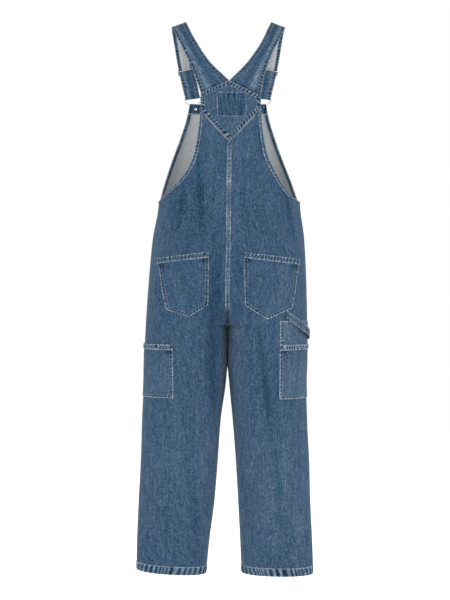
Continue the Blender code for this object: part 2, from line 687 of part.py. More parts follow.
def strap_frame(side, distance):
    """Centre, direction down, width and outward normal of the strap's front, a distance above its fold."""
    inner, outer = strap_edges(side)
    middle = (inner + outer) / 2
    length = np.linalg.norm(np.diff(middle[::-1], axis=0), axis=1)
    along = np.concatenate([[0], np.cumsum(length)])
    inner, outer = (
        np.array([np.interp(distance, along, edge[::-1, k]) for k in range(3)]) for edge in (inner, outer)
    )
    above = np.array([np.interp(distance + FRAME_STEP, along, middle[::-1, k]) for k in range(3)])
    centre = (inner + outer) / 2
    across = (outer - inner) / np.linalg.norm(outer - inner)
    down = centre - above
    down -= across * np.dot(down, across)
    down /= np.linalg.norm(down)
    normal = np.cross(across, down)
    normal *= np.sign(normal[1])
    return centre, down, across, normal


def make_straps():
    """Each strap runs down to its buckle, folds inwards round the wire and comes back up to the adjuster."""
    for side in SIDES:
        inner, outer = strap_edges(side)
        _, down, _, normal = strap_frame(side, 0.0)
        turn = np.linspace(0, math.pi, FOLD_ROWS + 1)[1:, None]
        curl = down * FOLD_RADIUS * np.sin(turn) - normal * FOLD_RADIUS * (1 - np.cos(turn))
        inner_rows = [inner, inner[-1] + curl]
        outer_rows = [outer, outer[-1] + curl]
        back_in, back_out = [], []
        for distance in np.linspace(0, RETURN_LENGTH, RETURN_ROWS + 1)[1:]:
            centre, _, across, normal = strap_frame(side, distance)
            half = np.linalg.norm(outer[-1] - inner[-1]) / 2
            centre = centre - normal * 2 * FOLD_RADIUS
            back_in.append(centre - across * half)
            back_out.append(centre + across * half)
        inner = np.concatenate([*inner_rows, back_in])
        outer = np.concatenate([*outer_rows, back_out])
        share = np.linspace(0, 1, STRAP_COLUMNS + 1)[None, :, None]
        points = inner[:, None] * (1 - share) + outer[:, None] * share
        towards = facing(points, "back")
        sheet(f"strap_{side}", points, towards, STRAP_CLOTH, 0, denim())


def make_adjusters():
    """A ring round the two layers of each strap: a plate in front of them and a narrow bar behind them."""
    wide, deep, tall = np.array(ADJUSTER_RING).T
    for side in SIDES:
        centre, down, across, normal = strap_frame(side, ADJUSTER_TOP)
        inner, outer = strap_edges(side)
        half = np.linalg.norm(outer[-1] - inner[-1]) / 2 + ADJUSTER_SIDE_ROOM
        depth = FOLD_RADIUS + STRAP_CLOTH / 2 + ADJUSTER_ROOM
        centre = centre - normal * FOLD_RADIUS
        ring = wide[:, None] * across * half + deep[:, None] * normal * depth
        points = np.array([centre + ring, centre + ring + down * tall[:, None]])
        sheet(f"adjuster_{side}", points, points - centre, ADJUSTER_WALL, 1, steel(), closed=True)


def button_frame(x, z, face):
    """Place and outward direction of a button on the form."""
    steps = np.array([-1, 0, 1]) * BUTTON_PLACE_STEP
    grid_x, grid_z = np.meshgrid(x + steps, z - steps)
    points = on_form(grid_x, grid_z, face)
    return points[1, 1], grid_normals(points, facing(points, face))[1, 1]


def make_button(name, x, z, face):
    """A metal button: a turned cap on a shank."""
    place, normal = button_frame(x, z, face)
    profile = (
        (0.0, BUTTON_HEIGHT),
        (CAP_DOME_RADIUS, BUTTON_HEIGHT - CAP_DOME),
        (BUTTON_RADIUS, BUTTON_HEIGHT - CAP_SIDE_TOP),
        (BUTTON_RADIUS, BUTTON_HEIGHT - CAP_SIDE_LOW),
        (SHANK_RADIUS, BUTTON_HEIGHT - CAP_HEIGHT),
        (SHANK_RADIUS, 0.0),
        (0.0, 0.0),
    )
    mesh = bpy.data.meshes.new(name)
    mesh.from_pydata([(r, 0.0, h) for r, h in profile], [(i, i + 1) for i in range(len(profile) - 1)], [])
    obj = linked(bpy.data.objects.new(name, mesh), steel())
    turn = obj.modifiers.new("turned", "SCREW")
    turn.axis = "Z"
    turn.steps = BUTTON_STEPS
    turn.render_steps = BUTTON_STEPS
    turn.use_merge_vertices = True
    turn.merge_threshold = 0.00005
    turn.use_normal_calculate = True
    rotation = Vector((0, 0, 1)).rotation_difference(Vector(normal)).to_matrix().to_4x4()
    obj.matrix_world = Matrix.Translation(Vector(place + normal * LAYER_GAP)) @ rotation
    return obj


def make_buttons():
    for side, sign in SIDES.items():
        make_button(f"bib_button_{side}", sign * BUTTON_X, BUTTON_Z, "front")
        for number, z in enumerate(SIDE_BUTTON_Z, 1):
            make_button(f"side_button_{side}_{number}", SIDE_BUTTON_X[side], z, "front")


def make_buckles():
    """A bent wire: its bar lies in the strap's fold, and its lower end hooks round the button's shank."""
    for side, sign in SIDES.items():
        centre, _, across, normal = strap_frame(side, 0.0)
        bar = centre - normal * FOLD_RADIUS
        place, out = button_frame(sign * BUTTON_X, BUTTON_Z, "front")
        drop = place + out * WIRE_HEIGHT - bar
        reach = np.linalg.norm(drop)
        down = drop / reach
        loop = SHANK_RADIUS + WIRE_RADIUS + WIRE_ROOM
        turn = np.linspace(BUCKLE_LOOP_FROM, BUCKLE_LOOP_TO, BUCKLE_LOOP_POINTS)
        outline = [(0.0, 0.0), *BUCKLE_HALF, (loop, reach)]
        outline += [(loop * math.cos(angle), reach + loop * math.sin(angle)) for angle in turn]
        outline += [(-loop, reach), *((-corner.wide, corner.low) for corner in reversed(BUCKLE_HALF))]
        curve = bpy.data.curves.new(f"buckle_{side}", "CURVE")
        curve.dimensions = "3D"
        curve.bevel_depth = WIRE_RADIUS
        curve.bevel_resolution = 1
        spline = curve.splines.new("POLY")
        spline.points.add(len(outline) - 1)
        for point, (wide, low) in zip(spline.points, outline):
            point.co = (*(bar + across * wide + down * low), 1.0)
        spline.use_cyclic_u = True
        linked(bpy.data.objects.new(f"buckle_{side}", curve), steel())


def main():
    for obj in list(bpy.data.objects):
        bpy.data.objects.remove(obj)
    bpy.context.scene.collection.children.link(bpy.data.collections.new(COLLECTION))
    make_panels()
    make_yoke()
    make_back_pockets()
    make_thigh_pockets()
    make_hammer_loop()
    make_bib()
    make_edges()
    make_straps()
    make_adjusters()
    make_buttons()
    make_buckles()


main()
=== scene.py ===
"""Denim bib overalls: washed cloth, seams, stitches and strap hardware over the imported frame.

Metres, +Z up. The back faces -Y, the wearer's right side is +X and the shoulders carry the straps at the origin.
Every piece of cloth is a thin shell whose right side is a surface on one form, and what lies on a panel is made
from that panel's surface, moved out.
"""

import logging
import math
from collections.abc import Sequence
from dataclasses import dataclass, field
from enum import Enum
from typing import NamedTuple

import bpy
import numpy as np
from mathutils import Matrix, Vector


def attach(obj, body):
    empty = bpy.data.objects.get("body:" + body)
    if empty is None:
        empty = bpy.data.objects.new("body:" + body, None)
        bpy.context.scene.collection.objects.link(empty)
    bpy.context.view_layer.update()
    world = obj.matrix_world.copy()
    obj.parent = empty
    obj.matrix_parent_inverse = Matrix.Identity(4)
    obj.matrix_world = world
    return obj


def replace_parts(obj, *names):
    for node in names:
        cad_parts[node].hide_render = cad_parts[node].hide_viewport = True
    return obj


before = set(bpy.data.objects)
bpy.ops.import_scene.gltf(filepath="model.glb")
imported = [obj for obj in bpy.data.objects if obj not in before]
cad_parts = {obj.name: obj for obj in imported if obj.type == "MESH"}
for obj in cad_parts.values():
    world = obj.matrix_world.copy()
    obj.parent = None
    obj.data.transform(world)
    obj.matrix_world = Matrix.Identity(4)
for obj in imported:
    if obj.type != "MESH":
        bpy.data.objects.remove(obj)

log = logging.getLogger("overalls")

CLOTH = 0.0016
STRAP_CLOTH = 0.0022
POCKET_CLOTH = 0.0014
LAYER_GAP = 0.0005
SEAM_GAP = 0.0003
SIDE_SEAM_GAP = 0.0007
DOUBLE_ROW = (0.0018, 0.0082)
UV_NAME = "cloth"


class Way(Enum):
    """A direction on the garment, whose value is the sign of a coordinate."""

    @property
    def word(self) -> str:
        """Its word in the names of nodes and pieces."""
        return self.name.lower()


class Side(Way):
    """The wearer's sides, each with the sign of its x."""

    LEFT = -1.0
    RIGHT = 1.0


class Face(Way):
    """The garment's back and front, each with the sign of its y."""

    BACK = -1.0
    FRONT = 1.0

    @property
    def out(self) -> np.ndarray:
        """The direction that the face looks in."""
        return np.array([0.0, self.value, 0.0])


class Section(NamedTuple):
    """Half widths, inner leg lines, middle and depths of the form at one height."""

    z: float
    left: float
    right: float
    left_in: float
    right_in: float
    centre: float
    middle: float
    back: float
    front: float


class Edge(NamedTuple):
    """Half widths of a cut edge at one height."""

    z: float
    left: float
    right: float


class Corner(NamedTuple):
    """A corner of a flat piece as seen from behind."""

    x: float
    z: float


class Crease(NamedTuple):
    """A soft trough, or a ridge where its depth is negative, from its upper to its lower end.

    The shade is painted into its colour along it: painted shade in a trough, painted light on a ridge.
    """

    x_top: float
    z_top: float
    x_low: float
    z_low: float
    half_width: float
    depth: float
    shade: float = 0.0


class StrapRow(NamedTuple):
    """The inner and outer edge of a strap at one place."""

    in_x: float
    in_y: float
    in_z: float
    out_x: float
    out_y: float
    out_z: float


FORM = (
    Section(-0.150, 0.172, 0.176, 0.0000, 0.0000, 0.0035, 0.000, 0.104, 0.119),
    Section(-0.250, 0.183, 0.186, 0.0000, 0.0000, 0.0040, 0.000, 0.113, 0.127),
    Section(-0.360, 0.188, 0.191, 0.0000, 0.0000, 0.0030, 0.000, 0.114, 0.129),
    Section(-0.474, 0.183, 0.190, 0.0000, 0.0000, 0.0015, 0.000, 0.117, 0.127),
    Section(-0.575, 0.199, 0.2015, 0.0000, 0.0000, 0.0008, 0.000, 0.131, 0.130),
    Section(-0.681, 0.209, 0.2067, 0.0022, -0.0010, -0.0016, 0.000, 0.143, 0.132),
    Section(-0.787, 0.2165, 0.2090, 0.0022, -0.0010, -0.0016, 0.001, 0.136, 0.128),
    Section(-0.893, 0.2215, 0.2085, 0.0022, -0.0010, -0.0016, 0.003, 0.119, 0.117),
    Section(-0.946, 0.2226, 0.2070, 0.0055, 0.0030, 0.0, 0.004, 0.109, 0.108),
    Section(-1.052, 0.2275, 0.2094, 0.0200, 0.0130, 0.0, 0.004, 0.093, 0.092),
    Section(-1.158, 0.2306, 0.2147, 0.0275, 0.0210, 0.0, 0.000, 0.083, 0.079),
    Section(-1.264, 0.2359, 0.2173, 0.0360, 0.0270, 0.0, -0.006, 0.074, 0.068),
    Section(-1.370, 0.2400, 0.2220, 0.0500, 0.0325, 0.0, -0.011, 0.066, 0.060),
    Section(-1.460, 0.2415, 0.2250, 0.0590, 0.0360, 0.0, -0.014, 0.061, 0.056),
)
BACK_EDGE = (
    Edge(-0.190, 0.0705, 0.0845),
    Edge(-0.245, 0.0715, 0.0848),
    Edge(-0.310, 0.0785, 0.0915),
    Edge(-0.358, 0.0885, 0.1010),
    Edge(-0.397, 0.1050, 0.1185),
    Edge(-0.434, 0.1350, 0.1395),
    Edge(-0.464, 0.1690, 0.1640),
    Edge(-0.478, 0.1820, 0.1885),
)
BIB_EDGE = (
    Edge(-0.199, 0.1040, 0.1040),
    Edge(-0.243, 0.1135, 0.1130),
    Edge(-0.297, 0.1305, 0.1290),
    Edge(-0.352, 0.1500, 0.1480),
    Edge(-0.410, 0.1680, 0.1690),
    Edge(-0.450, 0.1780, 0.1815),
    Edge(-0.480, 0.1825, 0.1893),
)

# The largest folds, which the solids have too
FOLDS = {
    (Face.BACK, Side.LEFT): (
        Crease(-0.066, -0.400, -0.072, -0.620, 0.026, 0.0045),
        Crease(-0.190, -1.150, -0.110, -1.330, 0.030, 0.0040),
    ),
    (Face.BACK, Side.RIGHT): (
        Crease(0.152, -0.480, 0.166, -0.600, 0.022, 0.0040),
        Crease(0.092, -0.930, 0.100, -1.090, 0.026, 0.0055),
    ),
    (Face.FRONT, Side.LEFT): (
        Crease(-0.180, -1.120, -0.110, -1.300, 0.030, 0.0045),
        Crease(-0.070, -0.500, -0.075, -0.660, 0.030, 0.0035),
    ),
    (Face.FRONT, Side.RIGHT): (
        Crease(0.060, -0.900, 0.110, -1.080, 0.030, 0.0045),
        Crease(0.072, -0.510, 0.078, -0.680, 0.030, 0.0035),
    ),
}

# Smaller creases, with painted shade along their troughs and painted light along their ridges. Rows with no depth
# paint broad patches of tone, and those at the crotch are painted light over its shadow.
CREASES = {
    (Face.BACK, Side.LEFT): (
        Crease(-0.0775, -0.340, -0.0645, -0.615, 0.0115, 0.0030, -0.170),
        Crease(-0.1076, -0.400, -0.1340, -0.580, 0.0100, 0.0022, -0.110),
        Crease(-0.0320, -0.480, -0.0260, -0.900, 0.0240, 0.0010, -0.145),
        Crease(-0.0490, -0.640, -0.0330, -1.075, 0.0170, 0.0042, -0.190),
        Crease(-0.0640, -0.830, -0.0350, -1.070, 0.0070, 0.0024, -0.050),
        Crease(-0.1520, -1.130, -0.1555, -1.235, 0.0060, 0.0015, -0.050),
        Crease(-0.1045, -1.130, -0.1035, -1.235, 0.0060, 0.0015, -0.040),
        Crease(-0.0855, -1.205, -0.0830, -1.385, 0.0110, 0.0018, -0.080),
        Crease(-0.2280, -1.212, -0.1580, -1.310, 0.0090, 0.0024, -0.075),
        Crease(-0.1580, -1.230, -0.1570, -1.405, 0.0150, 0.0020, -0.080),
        Crease(-0.1965, -0.970, -0.1970, -1.065, 0.0060, 0.0010, -0.030),
        Crease(-0.1850, -0.470, -0.1900, -0.640, 0.0160, -0.0012, 0.050),
        Crease(-0.1400, -0.540, -0.1500, -0.640, 0.0200, -0.0010, 0.030),
        Crease(-0.1200, -0.860, -0.1300, -1.120, 0.0240, -0.0016, 0.025),
        Crease(-0.0700, -1.080, -0.0600, -1.240, 0.0120, -0.0012, 0.030),
        Crease(-0.1000, -0.360, -0.1000, -0.690, 0.0800, 0.0000, -0.050),
        # painted light over the shadow in the crotch, in this row and the next
        Crease(-0.0040, -0.775, -0.0030, -0.960, 0.0090, 0.0000, 0.140),
        Crease(-0.0300, -0.785, -0.0300, -0.835, 0.0350, 0.0000, 0.070),
        Crease(-0.1350, -0.960, -0.1500, -1.500, 0.1200, 0.0000, 0.045),
    ),
    (Face.BACK, Side.RIGHT): (
        Crease(0.1440, -0.420, 0.1720, -0.590, 0.0090, 0.0028, -0.150),
        Crease(0.0743, -0.530, 0.0795, -0.640, 0.0100, 0.0012, -0.030),
        Crease(0.0620, -0.640, 0.0680, -0.745, 0.0130, 0.0016, -0.040),
        Crease(0.0700, -0.735, 0.1210, -1.170, 0.0100, 0.0038, -0.170),
        Crease(0.1200, -1.060, 0.1400, -1.330, 0.0110, 0.0016, -0.090),
        Crease(0.0385, -0.955, 0.0350, -1.080, 0.0050, 0.0018, -0.050),
        Crease(0.0470, -0.950, 0.0440, -1.060, 0.0060, -0.0014, 0.035),
        Crease(0.1830, -1.065, 0.1840, -1.250, 0.0050, 0.0014, -0.045),
        Crease(0.1460, -1.290, 0.1660, -1.410, 0.0130, 0.0018, -0.035),
        Crease(0.0490, -1.120, 0.0490, -1.240, 0.0150, -0.0014, 0.035),
        Crease(0.1300, -0.480, 0.1250, -0.620, 0.0200, -0.0010, 0.025),
        Crease(0.1600, -1.080, 0.1500, -1.260, 0.0200, -0.0014, 0.025),
        Crease(0.0280, -0.520, 0.0240, -0.820, 0.0180, 0.0008, -0.080),
        # painted light over the shadow between the legs and in the crotch, in this row and the next two
        Crease(0.0240, -0.790, 0.0300, -1.020, 0.0240, 0.0000, 0.050),
        Crease(0.0030, -0.775, 0.0020, -0.960, 0.0090, 0.0000, 0.130),
        Crease(0.0250, -0.785, 0.0250, -0.835, 0.0350, 0.0000, 0.060),
        Crease(0.1300, -0.560, 0.1300, -0.960, 0.0700, 0.0000, 0.030),
        Crease(0.1350, -0.960, 0.1450, -1.520, 0.1200, 0.0000, 0.070),
    ),
    (Face.FRONT, Side.LEFT): (
        Crease(-0.1500, -0.500, -0.1620, -0.640, 0.0080, 0.0020, -0.050),
        Crease(-0.0300, -0.700, -0.0520, -0.960, 0.0120, 0.0028, -0.070),
        Crease(-0.1250, -0.900, -0.1180, -1.080, 0.0160, -0.0014, 0.035),
        Crease(-0.0850, -1.080, -0.0950, -1.190, 0.0080, 0.0016, -0.040),
        Crease(-0.2000, -1.180, -0.1400, -1.270, 0.0080, 0.0020, -0.040),
        Crease(-0.1200, -1.290, -0.1150, -1.400, 0.0090, 0.0014, -0.035),
    ),
    (Face.FRONT, Side.RIGHT): (
        Crease(0.1500, -0.510, 0.1650, -0.650, 0.0080, 0.0022, -0.050),
        Crease(0.0280, -0.720, 0.0480, -0.980, 0.0120, 0.0026, -0.070),
        Crease(0.1300, -0.930, 0.1200, -1.110, 0.0160, -0.0014, 0.035),
        Crease(0.0600, -1.100, 0.0720, -1.220, 0.0080, 0.0016, -0.040),
        Crease(0.1700, -1.150, 0.1150, -1.260, 0.0080, 0.0018, -0.040),
        Crease(0.1500, -1.300, 0.1450, -1.410, 0.0100, 0.0014, -0.035),
    ),
}


def fade(t: np.ndarray) -> np.ndarray:
    """Eases shares, cut to 0 to 1, with flat ends: t^2 (3 - 2t)."""
    t = np.clip(t, 0.0, 1.0)
    return t * t * (3 - 2 * t)


def cubic(t: np.ndarray, step: np.ndarray, ends: tuple, slopes: tuple) -> np.ndarray:
    """The cubic between two values that has given slopes at both.

    Args:
        t: Shares of the way from the first value to the second.
        step: Distance between them.
        ends: The two values.
        slopes: The slopes there.

    Returns:
        The cubic's values.
    """
    start = ends[0] * (1 + 2 * t) * (1 - t) ** 2 + slopes[0] * step * t * (1 - t) ** 2
    end = ends[1] * t**2 * (3 - 2 * t) - slopes[1] * step * t**2 * (1 - t)
    return start + end


def smooth(table: Sequence, column: str, z: np.ndarray) -> np.ndarray:
    """Reads a table's column at any height, on a cubic that never overshoots its rows.

    Between two rows the value is the cubic with the rows' values and with slopes that are the harmonic mean of
    the rises on both sides.

    Args:
        table: Rows that each have a height z.
        column: The column's name.
        z: Heights.

    Returns:
        The column's value at each height.
    """
    rows = sorted(table, key=lambda row: row.z)
    knots = np.array([row.z for row in rows])
    values = np.array([getattr(row, column) for row in rows])
    z = np.clip(np.asarray(z, float), knots[0], knots[-1])
    steps = np.diff(knots)
    rises = np.diff(values) / steps
    slopes = np.zeros(len(values))
    slopes[0], slopes[-1] = rises[0], rises[-1]
    same_way = rises[:-1] * rises[1:] > 0
    both = np.where(same_way, rises[:-1] + rises[1:], 1.0)
    slopes[1:-1] = np.where(same_way, 2 * rises[:-1] * rises[1:] / both, 0.0)
    k = np.clip(np.searchsorted(knots, z, side="right") - 1, 0, len(steps) - 1)
    t = (z - knots[k]) / steps[k]
    return cubic(t, steps[k], (values[k], values[k + 1]), (slopes[k], slopes[k + 1]))


def roundness(share: np.ndarray, power: float) -> np.ndarray:
    """Height of a superellipse at shares of its half width: (1 - |share|^power)^(1/power)."""
    return (1 - np.clip(np.abs(share), 0, 1) ** power) ** (1 / power)


def arc(points: np.ndarray, axis: int) -> np.ndarray:
    """Length along a grid: the running sum of the distances between neighbours.

    Args:
        points: A grid of points.
        axis: The grid's axis to run along.

    Returns:
        The length at each point, from 0.
    """
    steps = np.linalg.norm(np.diff(points[..., :3], axis=axis), axis=-1)
    start = np.zeros_like(np.take(steps, [0], axis=axis))
    return np.concatenate([start, np.cumsum(steps, axis=axis)], axis=axis)


def unit(vectors: np.ndarray) -> np.ndarray:
    """Vectors made 1 long, and left at zero where they are zero."""
    return vectors / np.maximum(np.linalg.norm(vectors, axis=-1, keepdims=True), 1e-12)


def facing(normals: np.ndarray, out: np.ndarray) -> np.ndarray:
    """Normals made 1 long and turned, all together, to the side that vectors tell."""
    normals = unit(normals)
    return normals * np.sign((normals * out).sum())


def signed_power(values: np.ndarray, power: float) -> np.ndarray:
    """Values whose sizes are raised to a power and whose signs are kept."""
    return np.sign(values) * np.abs(values) ** power


def grid_normals(points: np.ndarray, out: np.ndarray) -> np.ndarray:
    """Unit normals of a grid: the cross product of its steps across and along.

    Args:
        points: A grid of points, rows along it and columns across it.
        out: Vectors that tell its right side, zero where they tell nothing.

    Returns:
        The normals, on the right side.
    """
    return facing(np.cross(np.gradient(points, axis=1), np.gradient(points, axis=0)), out)


def line_at(grid: np.ndarray, distance: float, last: bool = False) -> np.ndarray:
    """A line along a grid at a distance from its first or last column, point by point on its rows.

    Args:
        grid: Points, or points with their normals, as 3 or 6 numbers each.
        distance: How far the line lies from the edge, measured on the surface.
        last: Whether it is measured from the last column.

    Returns:
        The line's points, with their normals if the grid has them.
    """
    if last:
        grid = grid[:, ::-1]
    length = arc(grid, 1)
    row = np.arange(len(grid))
    k = np.clip((length <= distance).sum(axis=1) - 1, 0, grid.shape[1] - 2)
    t = (distance - length[row, k]) / (length[row, k + 1] - length[row, k])
    return grid[row, k] + (grid[row, k + 1] - grid[row, k]) * t[:, None]


def strip_at(grid: np.ndarray, width: float, columns: int, last: bool = False) -> np.ndarray:
    """A strip of even columns along a grid's first or last column, from the edge inwards."""
    return np.stack([line_at(grid, width * k / columns, last) for k in range(columns + 1)], axis=1)


def drift(along: np.ndarray, spacing: float, seed: int) -> np.ndarray:
    """A smooth random line: seeded values from -1 to 1 at even spacing, joined by eased steps.

    Args:
        along: Places in metres.
        spacing: Distance between the values.
        seed: Which line it is.

    Returns:
        The line's value at each place.
    """
    values = np.random.default_rng(seed).uniform(-1, 1, 1024)
    k = np.floor(along / spacing).astype(int)
    t = fade(along / spacing - k)
    return values[k % 1024] * (1 - t) + values[(k + 1) % 1024] * t


def ripple(along: np.ndarray, period: float, seed: int, sway: float = 0.55) -> np.ndarray:
    """Heights of puckers along a seam: a sine with a flat top, whose pace and height drift.

    Args:
        along: Places along the seam in metres.
        period: The puckers' usual spacing.
        seed: Which line of puckers it is.
        sway: How far their pace and height drift.

    Returns:
        Heights from -1 to 1.
    """
    pace = along / period + sway * drift(along, 2.3 * period, seed)
    wave = np.tanh(1.9 * np.sin(2 * math.pi * pace) + 0.5 * drift(along, 0.8 * period, seed + 2))
    return wave * (0.65 + 0.35 * drift(along, 1.7 * period, seed + 1))


def band(edge: np.ndarray, width: float) -> np.ndarray:
    """Where a seam's puckers are: 1 in a band along the sewn edge, eased to 0 at both its sides."""
    return fade(edge / 0.0016) * fade((width - edge) / 0.0022)


def relief(
    edge: np.ndarray, pucker: np.ndarray, height: float = 0.0003, drop: float = 0.0004, reach: float = 0.0008
) -> np.ndarray:
    """Heights of a sewn piece's relief: height * pucker - drop exp(-edge / reach).

    Args:
        edge: Distances from the nearest sewn edge.
        pucker: Heights of the puckers, from -1 to 1.
        height: How far they rise.
        drop: How far the edge is pressed down.
        reach: How fast that fades.

    Returns:
        The heights.
    """
    return height * pucker - drop * np.exp(-edge / reach)


def off_edges(points: np.ndarray) -> np.ndarray:
    """Distances on a grid from the nearer of its first and its last column."""
    length = arc(points, 1)
    return np.minimum(length, length[:, -1:] - length)


def through(points: Sequence, count: int) -> np.ndarray:
    """A smooth path through given points: cubics whose slopes are the points' own central differences.

    Args:
        points: The given points.
        count: How many even steps the path has.

    Returns:
        count + 1 points.
    """
    points = np.asarray(points, float)
    length = np.linalg.norm(np.diff(points, axis=0), axis=1)
    at = np.concatenate([[0], np.cumsum(length)])
    slopes = np.gradient(points, at, axis=0)
    where = np.linspace(0, at[-1], count + 1)
    k = np.clip(np.searchsorted(at, where, side="right") - 1, 0, len(length) - 1)
    t = ((where - at[k]) / length[k])[:, None]
    return cubic(t, length[k][:, None], (points[k], points[k + 1]), (slopes[k], slopes[k + 1]))


def polyline(corners: Sequence[Corner], shares: np.ndarray) -> tuple[np.ndarray, np.ndarray]:
    """Places at shares of the way along corners that are evenly spread over 0 to 1.

    Args:
        corners: The line's corners.
        shares: Shares from 0 to 1.

    Returns:
        x and z of each place.
    """
    at = np.linspace(0, 1, len(corners))
    x, z = (np.interp(shares, at, values) for values in zip(*corners))
    return x, z


def close_ended(count: int, lip: float = 0.012) -> np.ndarray:
    """Even shares from 0 to 1 with one more place near each end, where a sewn edge rounds off."""
    return np.unique(np.concatenate([np.linspace(0, 1, count + 1), [lip / 2, 1 - lip / 2]]))


@dataclass(frozen=True)
class Form:
    """The garment's filled-out form, on which every panel lies."""

    crotch_z: float = -0.800
    underarm_z: float = -0.478
    body_round: float = 2.35
    leg_round: float = 2.15
    back_arch: float = 0.135
    front_arch: float = 0.115
    arch_round: float = 2.2
    seat_height: float = 0.190
    end_ease: float = 1.5
    sharpness: float = 2.0
    rest: float = 0.3
    touch: float = 0.0006
    touch_low_z: float = -0.925

    def arch_height(self, face: Face) -> float:
        """Height of the crotch seam's arch on one face."""
        return self.back_arch if face is Face.BACK else self.front_arch

    def arch(self, z: np.ndarray, face: Face) -> np.ndarray:
        """Depth of the crotch seam as a share of the form's: a superellipse arc from the crotch up."""
        share = np.clip((z - self.crotch_z) / self.arch_height(face), 0, 1)
        return (1 - (1 - share) ** self.arch_round) ** (1 / self.arch_round)

    def seat(self, z: np.ndarray) -> np.ndarray:
        """How far the torso's form has taken over from the leg's, at heights z."""
        return fade((z - self.crotch_z) / self.seat_height)

    def outer_x(self, z: np.ndarray, side: Side) -> np.ndarray:
        """x of the side seam at heights z."""
        return side.value * smooth(FORM, side.word, z)

    def inner_x(self, z: np.ndarray, side: Side) -> np.ndarray:
        """x of the centre line above the crotch, and of the leg's inner line below it, where the thighs touch."""
        centre = smooth(FORM, "centre", z) + side.value * SEAM_GAP
        pressed = self.touch * fade((z - self.touch_low_z) / 0.02)
        leg = side.value * (smooth(FORM, side.word + "_in", z) - pressed)
        return np.where(z >= self.crotch_z, centre, leg)

    def creased(self, x: np.ndarray, z: np.ndarray, side: Side, face: Face) -> tuple[np.ndarray, np.ndarray]:
        """Depth of the creases, and their shade, at a place of one panel.

        Along a crease its depth is (1 - (2a - 1)^2)^ease of the share a of the way down, and across it the
        depth is exp(-sharpness c^2) of the share c of its half width.

        Args:
            x: Places across.
            z: Heights.
            side: The panel's side.
            face: The panel's face.

        Returns:
            Depths in metres, and shades.
        """
        depth = np.zeros(np.broadcast(x, z).shape)
        shade = np.zeros_like(depth)
        for crease in FOLDS[face, side] + CREASES[face, side]:
            along = (crease.z_top - z) / (crease.z_top - crease.z_low)
            across = (x - crease.x_top - along * (crease.x_low - crease.x_top)) / crease.half_width
            inside = np.clip(1 - (2 * along - 1) ** 2, 0, 1) ** self.end_ease
            here = inside * np.exp(-self.sharpness * across**2)
            depth = depth + crease.depth * here
            shade = shade + crease.shade * here
        return depth, shade

    def y(self, x: np.ndarray, z: np.ndarray, side: Side, face: Face) -> np.ndarray:
        """y of one panel: the section's depth times a superellipse across the leg, the torso or a mix of both.

        Args:
            x: Places across.
            z: Heights.
            side: The panel's side.
            face: The panel's face.

        Returns:
            The panel's y at each place.
        """
        reach = smooth(FORM, face.word, z)
        outer = self.outer_x(z, side)
        inner = self.inner_x(z, side)
        centre = smooth(FORM, "centre", z)
        across = (2 * x - outer - inner) / (outer - inner)
        leg = roundness(across, self.leg_round)
        leg = np.where(across < 0, 1 - (1 - leg) * (1 - self.arch(z, face)), leg)
        body = roundness((x - centre) / (outer - centre), self.body_round)
        turn = self.seat(z)
        depth = reach * ((1 - turn) * leg + turn * body)
        crease, _ = self.creased(x, z, side, face)
        depth = depth - crease * np.minimum(1, depth / (self.rest * reach))
        return smooth(FORM, "middle", z) + face.value * (depth + SIDE_SEAM_GAP / 2)

    def on(self, x: np.ndarray, z: np.ndarray, face: Face) -> np.ndarray:
        """Points of the back or front at any x, left or right of the centre.

        Args:
            x: Places across.
            z: Heights.
            face: Back or front.

        Returns:
            The points.
        """
        x, z = np.broadcast_arrays(np.asarray(x, float), np.asarray(z, float))
        left = x < smooth(FORM, "centre", z)
        y = np.where(left, self.y(x, z, Side.LEFT, face), self.y(x, z, Side.RIGHT, face))
        return np.stack([x, y, z], axis=-1)

    def shade(self, x: np.ndarray, z: np.ndarray, face: Face) -> np.ndarray:
        """The creases' shade at any x, left or right of the centre."""
        left = x < smooth(FORM, "centre", z)
        shades = [self.creased(x, z, side, face)[1] for side in (Side.LEFT, Side.RIGHT)]
        return np.where(left, *shades)

    def round_leg(self, angle: np.ndarray, z: np.ndarray, side: Side) -> np.ndarray:
        """Points round a leg: angle 0 is its inner side, pi its outer side, and the back comes between.

        x is the leg's middle less half its width times cos(angle), and y is the back's or the front's there.

        Args:
            angle: Angles.
            z: Heights.
            side: The leg.

        Returns:
            The points.
        """
        angle, z = np.broadcast_arrays(np.asarray(angle, float), np.asarray(z, float))
        outer, inner = self.outer_x(z, side), self.inner_x(z, side)
        x = (outer + inner) / 2 - (outer - inner) / 2 * np.cos(angle)
        back = np.sin(angle) >= 0
        y = np.where(back, self.y(x, z, side, Face.BACK), self.y(x, z, side, Face.FRONT))
        return np.stack([x, y, z], axis=-1)

    def from_axis(self, points: np.ndarray, side: Side) -> np.ndarray:
        """Vectors from a leg's axis to points on it."""
        z = points[..., 2]
        middle = (self.outer_x(z, side) + self.inner_x(z, side)) / 2
        return points - np.stack([middle, smooth(FORM, "middle", z), z], axis=-1)

    def leg_grid(self, side: Side, start_x: float, heights: np.ndarray, lengths: np.ndarray) -> np.ndarray:
        """A grid on a leg: each row starts at start_x on its back and goes given lengths round its outer side.

        Args:
            side: The leg.
            start_x: x of the first column.
            heights: Heights of the rows.
            lengths: Lengths from the first column to each column, on the surface.

        Returns:
            The grid.
        """
        angles = np.linspace(0.2 * math.pi, 1.6 * math.pi, 700)
        rows = []
        for z in heights:
            line = self.round_leg(angles, z, side)
            first = int(np.argmax(side.value * (line[:, 0] - start_x) >= 0))
            run = arc(line[first:], 0)
            rows.append(self.round_leg(np.interp(lengths, run, angles[first:]), z, side))
        return np.array(rows)


BODY = Form()


